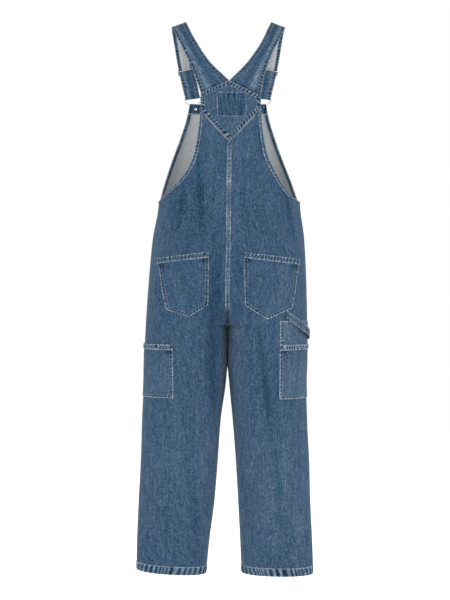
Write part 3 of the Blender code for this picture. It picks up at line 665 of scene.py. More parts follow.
class Board:
    """Adds nodes to one node tree and links them in short calls."""

    def __init__(self, tree: bpy.types.NodeTree) -> None:
        """Takes the tree to fill."""
        self.tree = tree

    def node(self, kind: str, **values: object) -> bpy.types.Node:
        """Adds a node.

        Args:
            kind: Blender's name for the node's type.
            values: Settings of the node.

        Returns:
            The node.
        """
        made = self.tree.nodes.new(kind)
        for name, value in values.items():
            setattr(made, name, value)
        return made

    def group(self, tree: bpy.types.NodeTree, **values: object) -> bpy.types.Node:
        """Adds a node group.

        Args:
            tree: The group.
            values: Sockets or numbers for its inputs, by their names.

        Returns:
            The group's node.
        """
        made = self.node("ShaderNodeGroup", node_tree=tree)
        for name, value in values.items():
            self.feed(made.inputs[name], value)
        return made

    def bump(self, shader: bpy.types.Node, height: object, strength: float, distance: float) -> None:
        """Bends a shader's normals by a height.

        Args:
            shader: The shader.
            height: The height, a socket.
            strength: How strongly it counts.
            distance: How far a height of 1 rises, in metres.
        """
        made = self.node("ShaderNodeBump")
        made.inputs["Strength"].default_value = strength
        made.inputs["Distance"].default_value = distance
        self.feed(made.inputs["Height"], height)
        self.feed(shader.inputs["Normal"], made.outputs[0])

    def feed(self, socket: bpy.types.NodeSocket, value: object) -> None:
        """Links a socket to another, or sets its value."""
        if isinstance(value, bpy.types.NodeSocket):
            self.tree.links.new(value, socket)
        else:
            socket.default_value = value

    def math(self, operation: str, *values: object, clamp: bool = False) -> bpy.types.NodeSocket:
        """Adds a Math node.

        Args:
            operation: The node's operation.
            values: Its inputs, sockets or numbers.
            clamp: Whether its value is cut to 0 to 1.

        Returns:
            Its output.
        """
        made = self.node("ShaderNodeMath", operation=operation, use_clamp=clamp)
        for socket, value in zip(made.inputs, values):
            self.feed(socket, value)
        return made.outputs[0]

    def stretched(self, place: object, scale: tuple[float, float, float]) -> bpy.types.NodeSocket:
        """A place times a scale, axis by axis, moved off the noise's own lattice."""
        made = self.node("ShaderNodeVectorMath", operation="MULTIPLY_ADD")
        for socket, value in zip(made.inputs, (place, scale, (0.13, 0.29, 0.41))):
            self.feed(socket, value)
        return made.outputs[0]

    def noise(self, place: object, scale: tuple[float, float, float], detail: float) -> bpy.types.NodeSocket:
        """Noise from -0.5 to 0.5 on a stretched place.

        Args:
            place: The place to read it at.
            scale: Cells to the metre along each axis.
            detail: How many finer layers it has.

        Returns:
            The noise.
        """
        made = self.node("ShaderNodeTexNoise", noise_dimensions="3D")
        self.feed(made.inputs["Vector"], self.stretched(place, scale))
        self.feed(made.inputs["Scale"], 1.0)
        self.feed(made.inputs["Detail"], detail)
        return self.math("SUBTRACT", made.outputs["Fac"], 0.5)

    def total(self, *terms: tuple[object, object]) -> bpy.types.NodeSocket:
        """The sum of products: each term is a value and what it is multiplied by."""
        first, *others = terms
        made = self.math("MULTIPLY", *first)
        for value, amount in others:
            made = self.math("MULTIPLY_ADD", value, amount, made)
        return made

    def mark(self, name: str) -> bpy.types.NodeSocket:
        """A number that the mesh holds at each point."""
        return self.node("ShaderNodeAttribute", attribute_name=name).outputs["Fac"]

    def cloth_place(self) -> bpy.types.NodeSocket:
        """The place on the cloth, in metres across and along it."""
        return self.node("ShaderNodeUVMap", uv_map=UV_NAME).outputs[0]

    def ramp(self, factor: object, stops: Sequence[tuple[float, tuple]]) -> bpy.types.NodeSocket:
        """Colours between stops.

        Args:
            factor: Where to read it.
            stops: Places from 0 to 1 with their colours.

        Returns:
            The colour.
        """
        made = self.node("ShaderNodeValToRGB")
        elements = made.color_ramp.elements
        while len(elements) < len(stops):
            elements.new(0.5)
        for element, (place, colour) in zip(elements, stops):
            element.position = place
            element.color = (*colour, 1.0)
        self.feed(made.inputs[0], factor)
        return made.outputs[0]


def started(name: str) -> tuple[bpy.types.Material, Board, bpy.types.Node]:
    """Starts a material, and gives it with the board of its nodes and its shader."""
    material = bpy.data.materials.new(name)
    material.use_nodes = True
    return material, Board(material.node_tree), material.node_tree.nodes["Principled BSDF"]


def node_group(
    name: str, inputs: Sequence[str], outputs: Sequence[str]
) -> tuple[bpy.types.NodeTree, bpy.types.Node, bpy.types.Node]:
    """Starts a shader node group that takes a Place and numbers.

    Args:
        name: The group's name.
        inputs: The names of its number inputs.
        outputs: The names of its outputs, which are numbers.

    Returns:
        The group, its input node and its output node.
    """
    group = bpy.data.node_groups.new(name, "ShaderNodeTree")
    group.interface.new_socket("Place", in_out="INPUT", socket_type="NodeSocketVector")
    for label in inputs:
        group.interface.new_socket(label, in_out="INPUT", socket_type="NodeSocketFloat")
    for label in outputs:
        group.interface.new_socket(label, in_out="OUTPUT", socket_type="NodeSocketFloat")
    return group, group.nodes.new("NodeGroupInput"), group.nodes.new("NodeGroupOutput")


def yarn_group() -> bpy.types.NodeTree:
    """The denim's yarns: grain, slubs along the warp, mottling and the twill's diagonal.

    Tone = grain noise + slub noise stretched along the warp + mottling + sine of the twill's diagonal, each
    times its own amount, and Height is made of the twill and the slubs.

    Returns:
        The node group.
    """
    parts = ("Grain", "Slub", "Mottle", "Twill")
    group, given, result = node_group("denim_yarns", parts, ("Tone", "Height"))
    board = Board(group)
    place = given.outputs["Place"]
    grain = board.noise(place, (340.0, 210.0, 1.0), 2.0)
    slub = board.noise(place, (330.0, 36.0, 1.0), 1.0)
    mottle = board.noise(place, (34.0, 4.0, 1.0), 2.0)
    axes = board.node("ShaderNodeSeparateXYZ")
    board.feed(axes.inputs[0], place)
    diagonal = board.total((axes.outputs[0], 5200.0), (axes.outputs[1], 3600.0))
    twill = board.math("SINE", diagonal)
    tone = board.total(*zip((grain, slub, mottle, twill), (given.outputs[part] for part in parts)))
    board.feed(result.inputs["Tone"], tone)
    board.feed(result.inputs["Height"], board.total((twill, 0.35), (slub, 1.2), (grain, 0.8)))
    return group


def seam_group() -> bpy.types.NodeTree:
    """Wear at seams: puckers rubbed pale on top and dark in their valleys, and a pale line on a sewn edge.

    Light = max(pucker, 0) + the edge line exp(-(edge / width)^2), both broken up by noise, and
    Dark = max(-pucker, 0).

    Returns:
        The node group.
    """
    group, given, result = node_group("seam_wear", ("Edge", "Pucker", "Width"), ("Light", "Dark", "Line"))
    board = Board(group)
    place = given.outputs["Place"]
    patchy = board.math("MULTIPLY_ADD", board.noise(place, (170.0, 170.0, 1.0), 2.0), 2.6, 0.85, clamp=True)
    share = board.math("DIVIDE", given.outputs["Edge"], given.outputs["Width"])
    line = board.math("EXPONENT", board.math("MULTIPLY", board.math("MULTIPLY", share, share), -1.0))
    pucker = given.outputs["Pucker"]
    light = board.math("MULTIPLY", board.math("MAXIMUM", pucker, 0.0), patchy)
    board.feed(result.inputs["Light"], light)
    board.feed(result.inputs["Line"], board.math("MULTIPLY", line, patchy))
    board.feed(result.inputs["Dark"], board.math("MAXIMUM", board.math("MULTIPLY", pucker, -1.0), 0.0))
    return group


DYE = (
    (0.00, (0.007, 0.014, 0.026)),
    (0.15, (0.009, 0.026, 0.054)),
    (0.30, (0.016, 0.054, 0.110)),
    (0.40, (0.026, 0.075, 0.144)),
    (0.50, (0.047, 0.100, 0.181)),
    (0.70, (0.092, 0.158, 0.246)),
    (0.85, (0.190, 0.265, 0.345)),
    (1.00, (0.430, 0.500, 0.560)),
)
WRONG_SIDE = (
    (0.00, (0.250, 0.275, 0.310)),
    (0.50, (0.500, 0.520, 0.540)),
    (1.00, (0.680, 0.690, 0.700)),
)


@dataclass(frozen=True)
class DenimFinish:
    """Denim seen on one of its sides, with how far it is washed and how strongly its yarns show."""

    name: str
    fade: float = 0.5
    grain: float = 0.86
    slub: float = 0.38
    mottle: float = 0.20
    twill: float = 0.035
    light: float = 0.24
    dark: float = 0.60
    line: float = 0.55
    line_width: float = 0.0020
    stops: tuple = DYE
    roughness: float = 0.88
    sheen: float = 0.05

    def made(self, yarn_tree: bpy.types.NodeTree, seam_tree: bpy.types.NodeTree) -> bpy.types.Material:
        """Builds the material: a sum of tones that reads the dye's ramp, with a bump from the yarns.

        Args:
            yarn_tree: The node group of the yarns.
            seam_tree: The node group of the seams' wear.

        Returns:
            The material.
        """
        material, board, shader = started(self.name)
        place, edge, pucker = board.cloth_place(), board.mark("edge"), board.mark("pucker")
        yarns = board.group(
            yarn_tree, Place=place, Grain=self.grain, Slub=self.slub, Mottle=self.mottle, Twill=self.twill
        )
        wear = board.group(seam_tree, Place=place, Edge=edge, Pucker=pucker, Width=self.line_width)
        tone = board.total(
            (yarns.outputs["Tone"], 1.0),
            (board.mark("shade"), 1.0),
            (wear.outputs["Light"], self.light),
            (wear.outputs["Line"], self.line),
            (wear.outputs["Dark"], -self.dark),
        )
        tone = board.math("ADD", tone, self.fade, clamp=True)
        board.feed(shader.inputs["Base Color"], board.ramp(tone, self.stops))
        shader.inputs["Roughness"].default_value = self.roughness
        shader.inputs["Specular IOR Level"].default_value = 0.2
        shader.inputs["Sheen Weight"].default_value = self.sheen
        shader.inputs["Sheen Roughness"].default_value = 0.5
        board.bump(shader, yarns.outputs["Height"], 0.5, 0.0004)
        return material


@dataclass(frozen=True)
class ThreadFinish:
    """Pale cotton thread, its twist seen as fine lines."""

    name: str = "pale_thread"
    dark: tuple = (0.12, 0.17, 0.23)
    light: tuple = (0.50, 0.55, 0.58)

    def made(self) -> bpy.types.Material:
        """Builds the material: two thread colours mixed by noise along the row.

        Returns:
            The material.
        """
        material, board, shader = started(self.name)
        place = board.node("ShaderNodeTexCoord").outputs["Object"]
        worn = board.math("MULTIPLY_ADD", board.noise(place, (160.0, 160.0, 160.0), 2.0), 2.2, 0.62, clamp=True)
        board.feed(shader.inputs["Base Color"], board.ramp(worn, ((0.0, self.dark), (1.0, self.light))))
        shader.inputs["Roughness"].default_value = 0.7
        board.bump(shader, board.noise(place, (2600.0, 2600.0, 2600.0), 0.0), 0.4, 0.0001)
        return material


@dataclass(frozen=True)
class SteelFinish:
    """Nickelled steel with fine scratches."""

    name: str = "nickelled_steel"
    colour: tuple = (0.90, 0.91, 0.92)
    dull: tuple = (0.46, 0.47, 0.49)

    def made(self) -> bpy.types.Material:
        """Builds the material: brightness and roughness both read the same scratches.

        Returns:
            The material.
        """
        material, board, shader = started(self.name)
        place = board.node("ShaderNodeTexCoord").outputs["Object"]
        cloudy = board.noise(place, (380.0, 380.0, 380.0), 3.0)
        scratch = board.noise(place, (2600.0, 260.0, 700.0), 1.0)
        worn = board.math("ADD", board.total((cloudy, 1.4), (scratch, 0.9)), 0.7, clamp=True)
        board.feed(shader.inputs["Base Color"], board.ramp(worn, ((0.0, self.dull), (1.0, self.colour))))
        board.feed(shader.inputs["Roughness"], board.math("MULTIPLY_ADD", worn, -0.16, 0.40))
        shader.inputs["Metallic"].default_value = 1.0
        board.bump(shader, scratch, 0.15, 0.00005)
        return material


DENIMS = {
    "denim": DenimFinish("washed_denim"),
    "panel": DenimFinish("panel_denim", line=0.16, light=0.14, dark=0.34),
    "band": DenimFinish("seam_band_denim", fade=0.53, light=0.32, dark=0.75, line=0.45),
    "yoke": DenimFinish("yoke_denim", fade=0.55, light=0.45, dark=0.75, line=0.12),
    "top_band": DenimFinish("pocket_band_denim", fade=0.60, light=0.26, dark=0.90, line=0.4),
    "felled": DenimFinish("felled_seam_denim", fade=0.56, light=0.25, dark=0.6, line=0.25),
    "hem": DenimFinish("roped_hem_denim", fade=0.65, light=0.25, dark=0.54, line=0.40),
    "dark": DenimFinish("patch_denim", fade=0.46, slub=0.8, line=0.36, light=0.25),
    "inside": DenimFinish(
        "denim_wrong_side", grain=0.7, slub=0.3, mottle=0.3, light=0.1, dark=0.2, line=0.0, stops=WRONG_SIDE
    ),
}


class Finishes:
    """Every finish of the garment, built once."""

    def __init__(self) -> None:
        """Builds the materials."""
        trees = yarn_group(), seam_group()
        for name, finish in DENIMS.items():
            setattr(self, name, finish.made(*trees))
        self.thread = ThreadFinish().made()
        self.steel = SteelFinish().made()


FINISH = Finishes()


def quads(number: np.ndarray) -> np.ndarray:
    """The quads between the neighbours of a grid of numbers, turned so that across x along is outwards."""
    return np.stack([number[:-1, :-1], number[:-1, 1:], number[1:, 1:], number[1:, :-1]], axis=-1).reshape(-1, 4)


def piece(
    name: str, points: np.ndarray, faces: Sequence, finishes: Sequence[bpy.types.Material]
) -> bpy.types.Object:
    """Puts points and faces into a new piece that rides on the garment.

    Args:
        name: The piece's name.
        points: Its points.
        faces: Its faces.
        finishes: Its materials.

    Returns:
        The piece.
    """
    mesh = bpy.data.meshes.new(name)
    mesh.from_pydata(points.reshape(-1, 3).tolist(), [], faces)
    mesh.shade_smooth()
    mesh.set_sharp_from_angle(angle=math.radians(50))
    for finish in finishes:
        mesh.materials.append(finish)
    made = bpy.data.objects.new(name, mesh)
    bpy.context.scene.collection.objects.link(made)
    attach(made, "root")
    return made


def closed_tube(name: str, points: np.ndarray, finish: bpy.types.Material) -> bpy.types.Object:
    """Makes a piece from a grid that is closed both ways, and gives it its place on uncut cloth.

    Args:
        name: The piece's name.
        points: The grid, whose rows run along the tube and whose columns go round its section.
        finish: Its material.

    Returns:
        The piece.
    """
    rows, columns = points.shape[:2]
    wrap = ((0, 1), (0, 1))
    faces = quads(np.pad(np.arange(rows * columns).reshape(rows, columns), wrap, mode="wrap"))
    corners = quads(np.arange((rows + 1) * (columns + 1)).reshape(rows + 1, columns + 1))
    across = np.roll(points, -1, axis=1) - np.roll(points, 1, axis=1)
    along = np.roll(points, -1, axis=0) - np.roll(points, 1, axis=0)
    if (np.cross(across, along) * (points - points.mean(axis=1, keepdims=True))).sum() < 0:
        faces, corners = faces[:, ::-1], corners[:, ::-1]
    made = piece(name, points, faces.tolist(), (finish,))
    grid = np.pad(points, (*wrap, (0, 0)), mode="wrap")
    place = np.stack([arc(grid, 0), arc(grid, 1)], axis=-1).reshape(-1, 2)
    set_place(made.data, place[corners.ravel()])
    return made


def set_place(mesh: bpy.types.Mesh, place: np.ndarray) -> None:
    """Gives a mesh the place on the cloth of each corner of its faces."""
    layer = mesh.uv_layers.new(name=UV_NAME)
    layer.data.foreach_set("uv", np.ascontiguousarray(place, dtype=np.float32).ravel())


def set_mark(mesh: bpy.types.Mesh, name: str, values: np.ndarray) -> None:
    """Gives a mesh a number at each point."""
    mark = mesh.attributes.new(name, "FLOAT", "POINT")
    mark.data.foreach_set("value", np.ascontiguousarray(values, dtype=np.float32).ravel())


@dataclass
class Cloth:
    """A piece of cloth: a grid on its right side, rows along it and columns across it, and what marks it.

    out tells which way the right side faces, edge is the distance from the nearest sewn edge, pucker the height
    of the seam's puckers from -1 to 1, and shade the tone added to the dye, which holds wear and also painted
    shade and painted light. place is where each point lies on the uncut cloth, and is its arc lengths if it isn't
    given.
    """

    points: np.ndarray
    out: np.ndarray
    edge: np.ndarray | float = 1.0
    pucker: np.ndarray | float = 0.0
    shade: np.ndarray | float = 0.0
    place: np.ndarray | None = None
    lift: np.ndarray | float = 0.0
    normals: np.ndarray = field(init=False)

    def __post_init__(self) -> None:
        """Works out the normals and spreads the marks and the lift over the grid."""
        self.normals = grid_normals(self.points, self.out)
        flat = np.zeros(self.points.shape[:2])
        self.edge, self.pucker = flat + self.edge, flat + self.pucker
        self.shade, self.lift = flat + self.shade, flat + self.lift

    def surface(self, height: np.ndarray | float) -> np.ndarray:
        """The grid's points, moved out along their normals by its lift and a height."""
        return self.points + self.normals * (self.lift + height)[..., None]

    def lined(self) -> np.ndarray:
        """The right side's points with their normals, as 6 numbers each."""
        return np.concatenate([self.surface(0.0), self.normals], axis=-1)

    def size(self) -> tuple[float, float, float]:
        """Greatest width, greatest length and area of the cut cloth, in metres and square metres."""
        across = np.diff(self.points, axis=1)[:-1]
        along = np.diff(self.points, axis=0)[:, :-1]
        area = np.linalg.norm(np.cross(across, along), axis=-1).sum()
        return float(arc(self.points, 1).max()), float(arc(self.points, 0).max()), float(area)

    def sewn(
        self,
        node: str,
        finish: bpy.types.Material,
        thickness: float = CLOTH,
        slot: str = "denim",
        hem: float = 0.0,
        name: str | None = None,
    ) -> bpy.types.Object:
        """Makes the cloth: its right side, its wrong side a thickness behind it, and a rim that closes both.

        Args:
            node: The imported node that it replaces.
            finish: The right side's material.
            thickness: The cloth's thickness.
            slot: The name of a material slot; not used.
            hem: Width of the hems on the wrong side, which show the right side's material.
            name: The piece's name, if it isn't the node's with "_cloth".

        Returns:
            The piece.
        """
        name = name or f"{node}_cloth"
        rows, columns = self.points.shape[:2]
        size = rows * columns
        number = np.arange(size).reshape(rows, columns)
        loop = np.concatenate([number[0, :-1], number[:-1, -1], number[-1, :0:-1], number[:0:-1, 0]])
        following = np.roll(loop, -1)
        right = quads(number)
        wrong = right[:, ::-1] + size
        rim = np.stack([following, loop, loop + size, following + size], axis=-1)
        faces = np.concatenate([right, wrong, rim])
        turned = np.cross(np.gradient(self.points, axis=1), np.gradient(self.points, axis=0))
        if (turned * self.normals).sum() < 0:
            faces = faces[:, ::-1]
        raised = self.surface(0.0)
        points = np.concatenate([raised.reshape(-1, 3), self.surface(-thickness).reshape(-1, 3)])
        made = piece(name, points, faces.tolist(), (finish, FINISH.inside))
        place = self.place
        if place is None:
            place = np.stack([arc(raised, 1), arc(raised, 0)], axis=-1)
        place = np.tile(place.reshape(-1, 2), (2, 1)) + 0.173 * (sum(name.encode()) % 89)
        set_place(made.data, place[faces.ravel()])
        for label, values in (("edge", self.edge), ("pucker", self.pucker), ("shade", self.shade)):
            set_mark(made.data, label, np.tile(values.ravel(), 2))
        behind = self.edge.ravel()[right].mean(axis=1) >= hem
        index = np.concatenate([np.zeros(len(right)), behind, np.zeros(len(rim))])
        made.data.polygons.foreach_set("material_index", index.astype(np.int32))
        made.data.update()
        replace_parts(made, node)
        return made

    def declared(self, made: bpy.types.Object, hangs_from: Sequence[str], extra: Sequence = ()) -> None:
        """Args:
            made: The cloth's piece; not used.
            hangs_from: Names of what it hangs from or is sewn to; not used.
            extra: Pieces that are sewn on it and go with it; not used.
        """
        width, length, area = self.size()


@dataclass
class Thread:
    """Stitch rows that are made into one piece.

    A stitch is a bar of four sides with pointed ends, which dips into the cloth at both.
    """

    length: float = 0.0027
    gap: float = 0.0009
    radius: float = 0.00045
    lift: float = 0.0001
    parts: list = field(default_factory=list)

    def row(self, line: np.ndarray) -> None:
        """Sews a row of stitches along a line.

        Args:
            line: The line's points with their normals, as 6 numbers each.
        """
        run = arc(line, 0)
        starts = np.arange(0, run[-1] - self.length, self.length + self.gap)
        if not len(starts):
            return
        ends = np.stack([starts, starts + self.length])
        read = np.stack([np.interp(ends, run, line[:, k]) for k in range(6)], axis=-1)
        points, normals = read[..., :3], read[..., 3:]
        normal = unit(normals.mean(axis=0))
        points = points + normal * self.lift
        ahead = points[1] - points[0]
        side = unit(np.cross(normal, ahead))
        ring = [side, normal, -side, -normal]
        made = [points[0] - normal * self.radius]
        for share in (0.22, 0.78):
            centre = points[0] + ahead * share + normal * self.radius * 0.4
            made += [centre + spoke * self.radius for spoke in ring]
        made.append(points[1] - normal * self.radius)
        self.parts.append(np.stack(made, axis=1))

    def rows(self, lined: np.ndarray, distances: Sequence[float], last: bool = False) -> None:
        """Sews rows along a grid at distances from its first or last column."""
        for distance in distances:
            self.row(line_at(lined, distance, last))

    def both(self, lined: np.ndarray, distances: Sequence[float]) -> None:
        """Sews rows along a grid at distances from its first and from its last column."""
        for last in (False, True):
            self.rows(lined, distances, last)

    def ends(self, lined: np.ndarray, distances: Sequence[float], last: bool = True) -> None:
        """Sews rows along a grid at distances from its last or first row."""
        self.rows(np.swapaxes(lined, 0, 1), distances, last)

    def sewn(self, name: str) -> bpy.types.Object:
        """Makes the piece that holds every row.

        Args:
            name: The piece's name.

        Returns:
            The piece.
        """
        points = np.concatenate(self.parts)
        first = (np.arange(len(points)) * points.shape[1])[:, None]
        here, there = np.arange(4), np.roll(np.arange(4), -1)
        near = np.stack([there + 1, here + 1, np.zeros(4, int)], axis=-1)
        far = np.stack([here + 5, there + 5, np.full(4, 9)], axis=-1)
        sides = np.stack([here + 1, there + 1, there + 5, here + 5], axis=-1)
        tips = (first[:, :, None] + np.concatenate([near, far])[None]).reshape(-1, 3)
        bars = (first[:, :, None] + sides[None]).reshape(-1, 4)
        return piece(name, points, tips.tolist() + bars.tolist(), (FINISH.thread,))


@dataclass(frozen=True)
class Outline:
    """A closed outline of straight sewn edges, in a flat chart."""

    corners: tuple[Corner, ...]

    def ends(self) -> tuple[np.ndarray, np.ndarray]:
        """The starts and the ends of its edges."""
        starts = np.array(self.corners, float)
        return starts, np.roll(starts, -1, axis=0)

    def measured(self, x: np.ndarray, z: np.ndarray, edges: Sequence[int]) -> tuple[np.ndarray, np.ndarray]:
        """Distance to the nearest of some edges, and the length run along the outline to that place.

        Args:
            x: Places across.
            z: Heights.
            edges: Numbers of the edges that count.

        Returns:
            The distances and the lengths.
        """
        starts, ends = self.ends()
        best, run = np.full(np.shape(x), 1.0), np.zeros(np.shape(x))
        length = np.linalg.norm(ends - starts, axis=1)
        before = np.concatenate([[0], np.cumsum(length)])
        for k in edges:
            way = (ends[k] - starts[k]) / length[k]
            there = np.clip((x - starts[k][0]) * way[0] + (z - starts[k][1]) * way[1], 0, length[k])
            apart = np.hypot(x - starts[k][0] - way[0] * there, z - starts[k][1] - way[1] * there)
            run = np.where(apart < best, before[k] + there, run)
            best = np.minimum(apart, best)
        return best, run

    def inset(self, distances: Sequence[float], first: int, last: int, steps: int = 240) -> np.ndarray:
        """A line inside the outline along its edges first to last: each edge moved in by its own distance.

        Args:
            distances: How far each edge is moved in.
            first: The first edge that the line follows.
            last: The last one.
            steps: How many even steps the line has.

        Returns:
            x and z of its points.
        """
        starts, ends = self.ends()
        way = (ends - starts) / np.linalg.norm(ends - starts, axis=1)[:, None]
        normal = np.stack([-way[:, 1], way[:, 0]], axis=-1)
        inwards = np.sign(((starts.mean(axis=0) - starts) * normal).sum(axis=1))[:, None]
        moved = starts + normal * inwards * np.asarray(distances)[:, None]
        before, way_before = np.roll(moved, 1, axis=0), np.roll(way, 1, axis=0)
        cross = way_before[:, 0] * way[:, 1] - way_before[:, 1] * way[:, 0]
        gap = moved - before
        share = (gap[:, 0] * way[:, 1] - gap[:, 1] * way[:, 0]) / cross
        corners = before + way_before * share[:, None]
        count = len(corners)
        picked = corners[[k % count for k in range(first, last + 2)]]
        run = np.concatenate([[0], np.cumsum(np.linalg.norm(np.diff(picked, axis=0), axis=1))])
        even = np.linspace(0, run[-1], steps + 1)
        return np.stack([np.interp(even, run, picked[:, k]) for k in range(2)], axis=-1)


@dataclass
class Patch:
    """A flat piece that is sewn on the back or the front along its outline."""

    name: str
    face: Face
    top: tuple[Corner, ...]
    low: tuple[Corner, ...]
    columns: int
    rows: int
    sewn_edges: tuple[int, ...]
    lift: float = LAYER_GAP
    thickness: float = POCKET_CLOTH
    middle: tuple[Corner, Corner] | None = None
    band_width: float = 0.0095
    pucker_height: float = 0.0004
    period: float = 0.0085
    seed: int = 1
    strength: float = 1.0

    def outline(self) -> Outline:
        """Its outline, from the top's first corner round by the low edge's last one."""
        sides = [self.middle[1]] if self.middle else []
        back = [self.middle[0]] if self.middle else []
        return Outline((*self.top, *sides, *reversed(self.low), *back))

    def cloth(self) -> Cloth:
        """The piece's cloth: places between its top and its low edge, put on the form and puckered at its seams.

        Returns:
            The cloth.
        """
        u = close_ended(self.columns)[None, :]
        v = close_ended(self.rows)[:, None]
        top_x, top_z = polyline(self.top, u)
        low_x, low_z = polyline(self.low, u)
        x = top_x + (low_x - top_x) * v
        z = top_z + (low_z - top_z) * v
        if self.middle:
            middle_x, middle_z = polyline(self.middle, u)
            share = (top_z - middle_z) / (top_z - low_z)
            bend = np.where(v < share, v / share, (1 - v) / (1 - share))
            x = x + bend * (middle_x - top_x - (low_x - top_x) * share)
        edge, along = self.outline().measured(x, z, self.sewn_edges)
        pucker = band(edge, self.band_width) * ripple(along + 0.35 * edge, self.period, self.seed)
        lift = self.lift + self.thickness + relief(edge, pucker, self.pucker_height, 0.0005, 0.0010)
        shade = BODY.shade(x, z, self.face)
        return Cloth(BODY.on(x, z, self.face), self.face.out, edge, self.strength * pucker, shade, lift=lift)

    def line(self, distances: Sequence[float], first: int, last: int) -> np.ndarray:
        """A line on the piece inside its outline, with normals, for a row of stitches.

        Args:
            distances: How far each edge of the outline is moved in.
            first: The first edge that the line follows.
            last: The last one.

        Returns:
            The line's points with their normals.
        """
        x, z = self.outline().inset(distances, first, last).T
        step = 0.001
        grid = BODY.on(x[:, None] + np.array([0.0, step, -step]), z[:, None], self.face)
        upper = BODY.on(x, z + step, self.face)
        normal = facing(np.cross(grid[:, 1] - grid[:, 2], upper - grid[:, 0]), self.face.out)
        return np.concatenate([grid[:, 0] + normal * (self.lift + self.thickness), normal], axis=-1)


@dataclass
class Trousers:
    """The two backs and the two fronts, each with its leg, and the roped hems."""

    hem_z: dict = field(default_factory=lambda: {Side.LEFT: -1.4455, Side.RIGHT: -1.4505})
    hem_tilt: dict = field(default_factory=lambda: {Side.LEFT: 0.0055, Side.RIGHT: -0.0015})
    tilt_fade: float = 0.15
    yoke_side_z: dict = field(default_factory=lambda: {Side.LEFT: -0.2460, Side.RIGHT: -0.2410})
    yoke_point_z: float = -0.3270
    waist_z: float = -0.4800
    rows: dict = field(default_factory=lambda: {Face.BACK: (205, 44, 60, 60), Face.FRONT: (170, 34, 50, 0)})
    columns: dict = field(default_factory=lambda: {Face.BACK: 58, Face.FRONT: 42})
    hem_height: float = 0.0195
    hem_steps: int = 300
    seam_width: float = 0.0100
    # Painted light inside the legs and in the crotch, where the cloth turns away into shade
    inner_wear: float = 0.22
    crotch_wear: float = 0.12
    side_rows: tuple = (0.0020, 0.0080)
    waist_rows: tuple = (0.0022, 0.0085)
    bare_hem_rows: int = 8

    def heights(self, side: Side, face: Face) -> tuple[np.ndarray, np.ndarray]:
        """Heights of a panel's rows from the hem up.

        Args:
            side: The panel's side.
            face: The panel's face.

        Returns:
            The heights at the inner edge and at the outer edge.
        """
        legs, arches, hips, blades = self.rows[face]
        hem, crotch = self.hem_z[side], BODY.crotch_z
        top = crotch + BODY.arch_height(face)
        leg = np.linspace(hem, crotch, legs + 1)
        arch = crotch + BODY.arch_height(face) * np.linspace(0, 1, arches + 1)[1:] ** 2.0
        end = BODY.underarm_z if face is Face.BACK else self.waist_z - SEAM_GAP
        hip = np.linspace(top, end, hips + 1)[1:]
        inner = outer = np.concatenate([leg, arch, hip])
        if blades:
            rise = np.linspace(0, 1, blades + 1)[1:] ** 1.4
            blade_top = self.yoke_side_z[side] - 2 * SEAM_GAP
            centre_top = self.yoke_point_z - 2 * SEAM_GAP
            inner = np.concatenate([inner, end + (centre_top - end) * rise])
            outer = np.concatenate([outer, end + (blade_top - end) * rise])
        return inner, outer

    def tilted(self, x: np.ndarray, z: np.ndarray, side: Side) -> np.ndarray:
        """Heights with the hem's slant, which fades out above the hem.

        Args:
            x: Places across.
            z: Heights.
            side: The leg.

        Returns:
            The new heights.
        """
        outer, inner = BODY.outer_x(z, side), BODY.inner_x(z, side)
        tilt = fade((self.hem_z[side] + self.tilt_fade - z) / self.tilt_fade) * self.hem_tilt[side]
        return z + tilt * (2 * x - outer - inner) / (outer - inner)

    def panel(self, side: Side, face: Face) -> Cloth:
        """A panel: rows up from the hem, columns from the inner edge out.

        Columns are spread by the cosine on the leg and by the sine on the torso, as the form curves there.
        Painted light is added by powers of how far the cloth turns away, most inside the legs and at the crotch,
        where shade falls.

        Args:
            side: The panel's side.
            face: The panel's face.

        Returns:
            The cloth.
        """
        inner_z, outer_z = self.heights(side, face)
        t = np.linspace(0, 1, self.columns[face] + 1)[None, :]
        z = inner_z[:, None] + (outer_z - inner_z)[:, None] * t
        inner, outer = BODY.inner_x(z, side), BODY.outer_x(z, side)
        edge = BODY.outer_x(outer_z, side)
        if face is Face.BACK:
            armhole = side.value * smooth(BACK_EDGE, side.word, outer_z)
            edge = np.where(outer_z > BODY.underarm_z + 1e-6, armhole, edge)
        start = BODY.inner_x(outer_z, side)
        reach = np.arcsin(np.clip((edge - start) / (BODY.outer_x(outer_z, side) - start), 0, 1))
        body_x = inner + (outer - inner) * np.sin(t * reach[:, None])
        leg_x = inner + (outer - inner) * (1 - np.cos(math.pi * t)) / 2
        turn = BODY.seat(z)
        x = (1 - turn) * leg_x + turn * body_x
        y = BODY.y(x, z, side, face)
        points = np.stack([x, y, self.tilted(x, z, side)], axis=-1)
        length = arc(points, 1)
        sewn = np.minimum(length, length[:, -1:] - length)
        seed = 20 + int(face is Face.BACK) + 2 * int(side is Side.LEFT)
        pucker = band(sewn, self.seam_width) * ripple(arc(points, 0), 0.0150, seed)
        _, shade = BODY.creased(x, z, side, face)
        away = 1 - np.clip((grid_normals(points, face.out) * face.out).sum(axis=-1), 0, 1)
        inside = fade((0.5 - t) / 0.35) * fade((BODY.crotch_z + 0.03 - z) / 0.04)
        crotch = inside * fade((z - BODY.crotch_z + 0.16) / 0.05)
        # Painted light: paler by powers of how far the cloth turns away, on the turned sides and most on the
        # inner legs and in the crotch, against their shade
        shade = shade + away**1.3 * (0.05 + (self.inner_wear - 0.05) * inside)
        shade = shade + away**5 * self.crotch_wear * crotch
        whole = inner + (outer - inner) * np.sin(t * math.pi / 2)
        whole = np.stack([whole, BODY.y(whole, z, side, face), z], axis=-1)
        place = np.stack([length - arc(whole, 1)[:, -1:], z], axis=-1)
        return Cloth(points, face.out, sewn, 0.7 * pucker, shade, place)

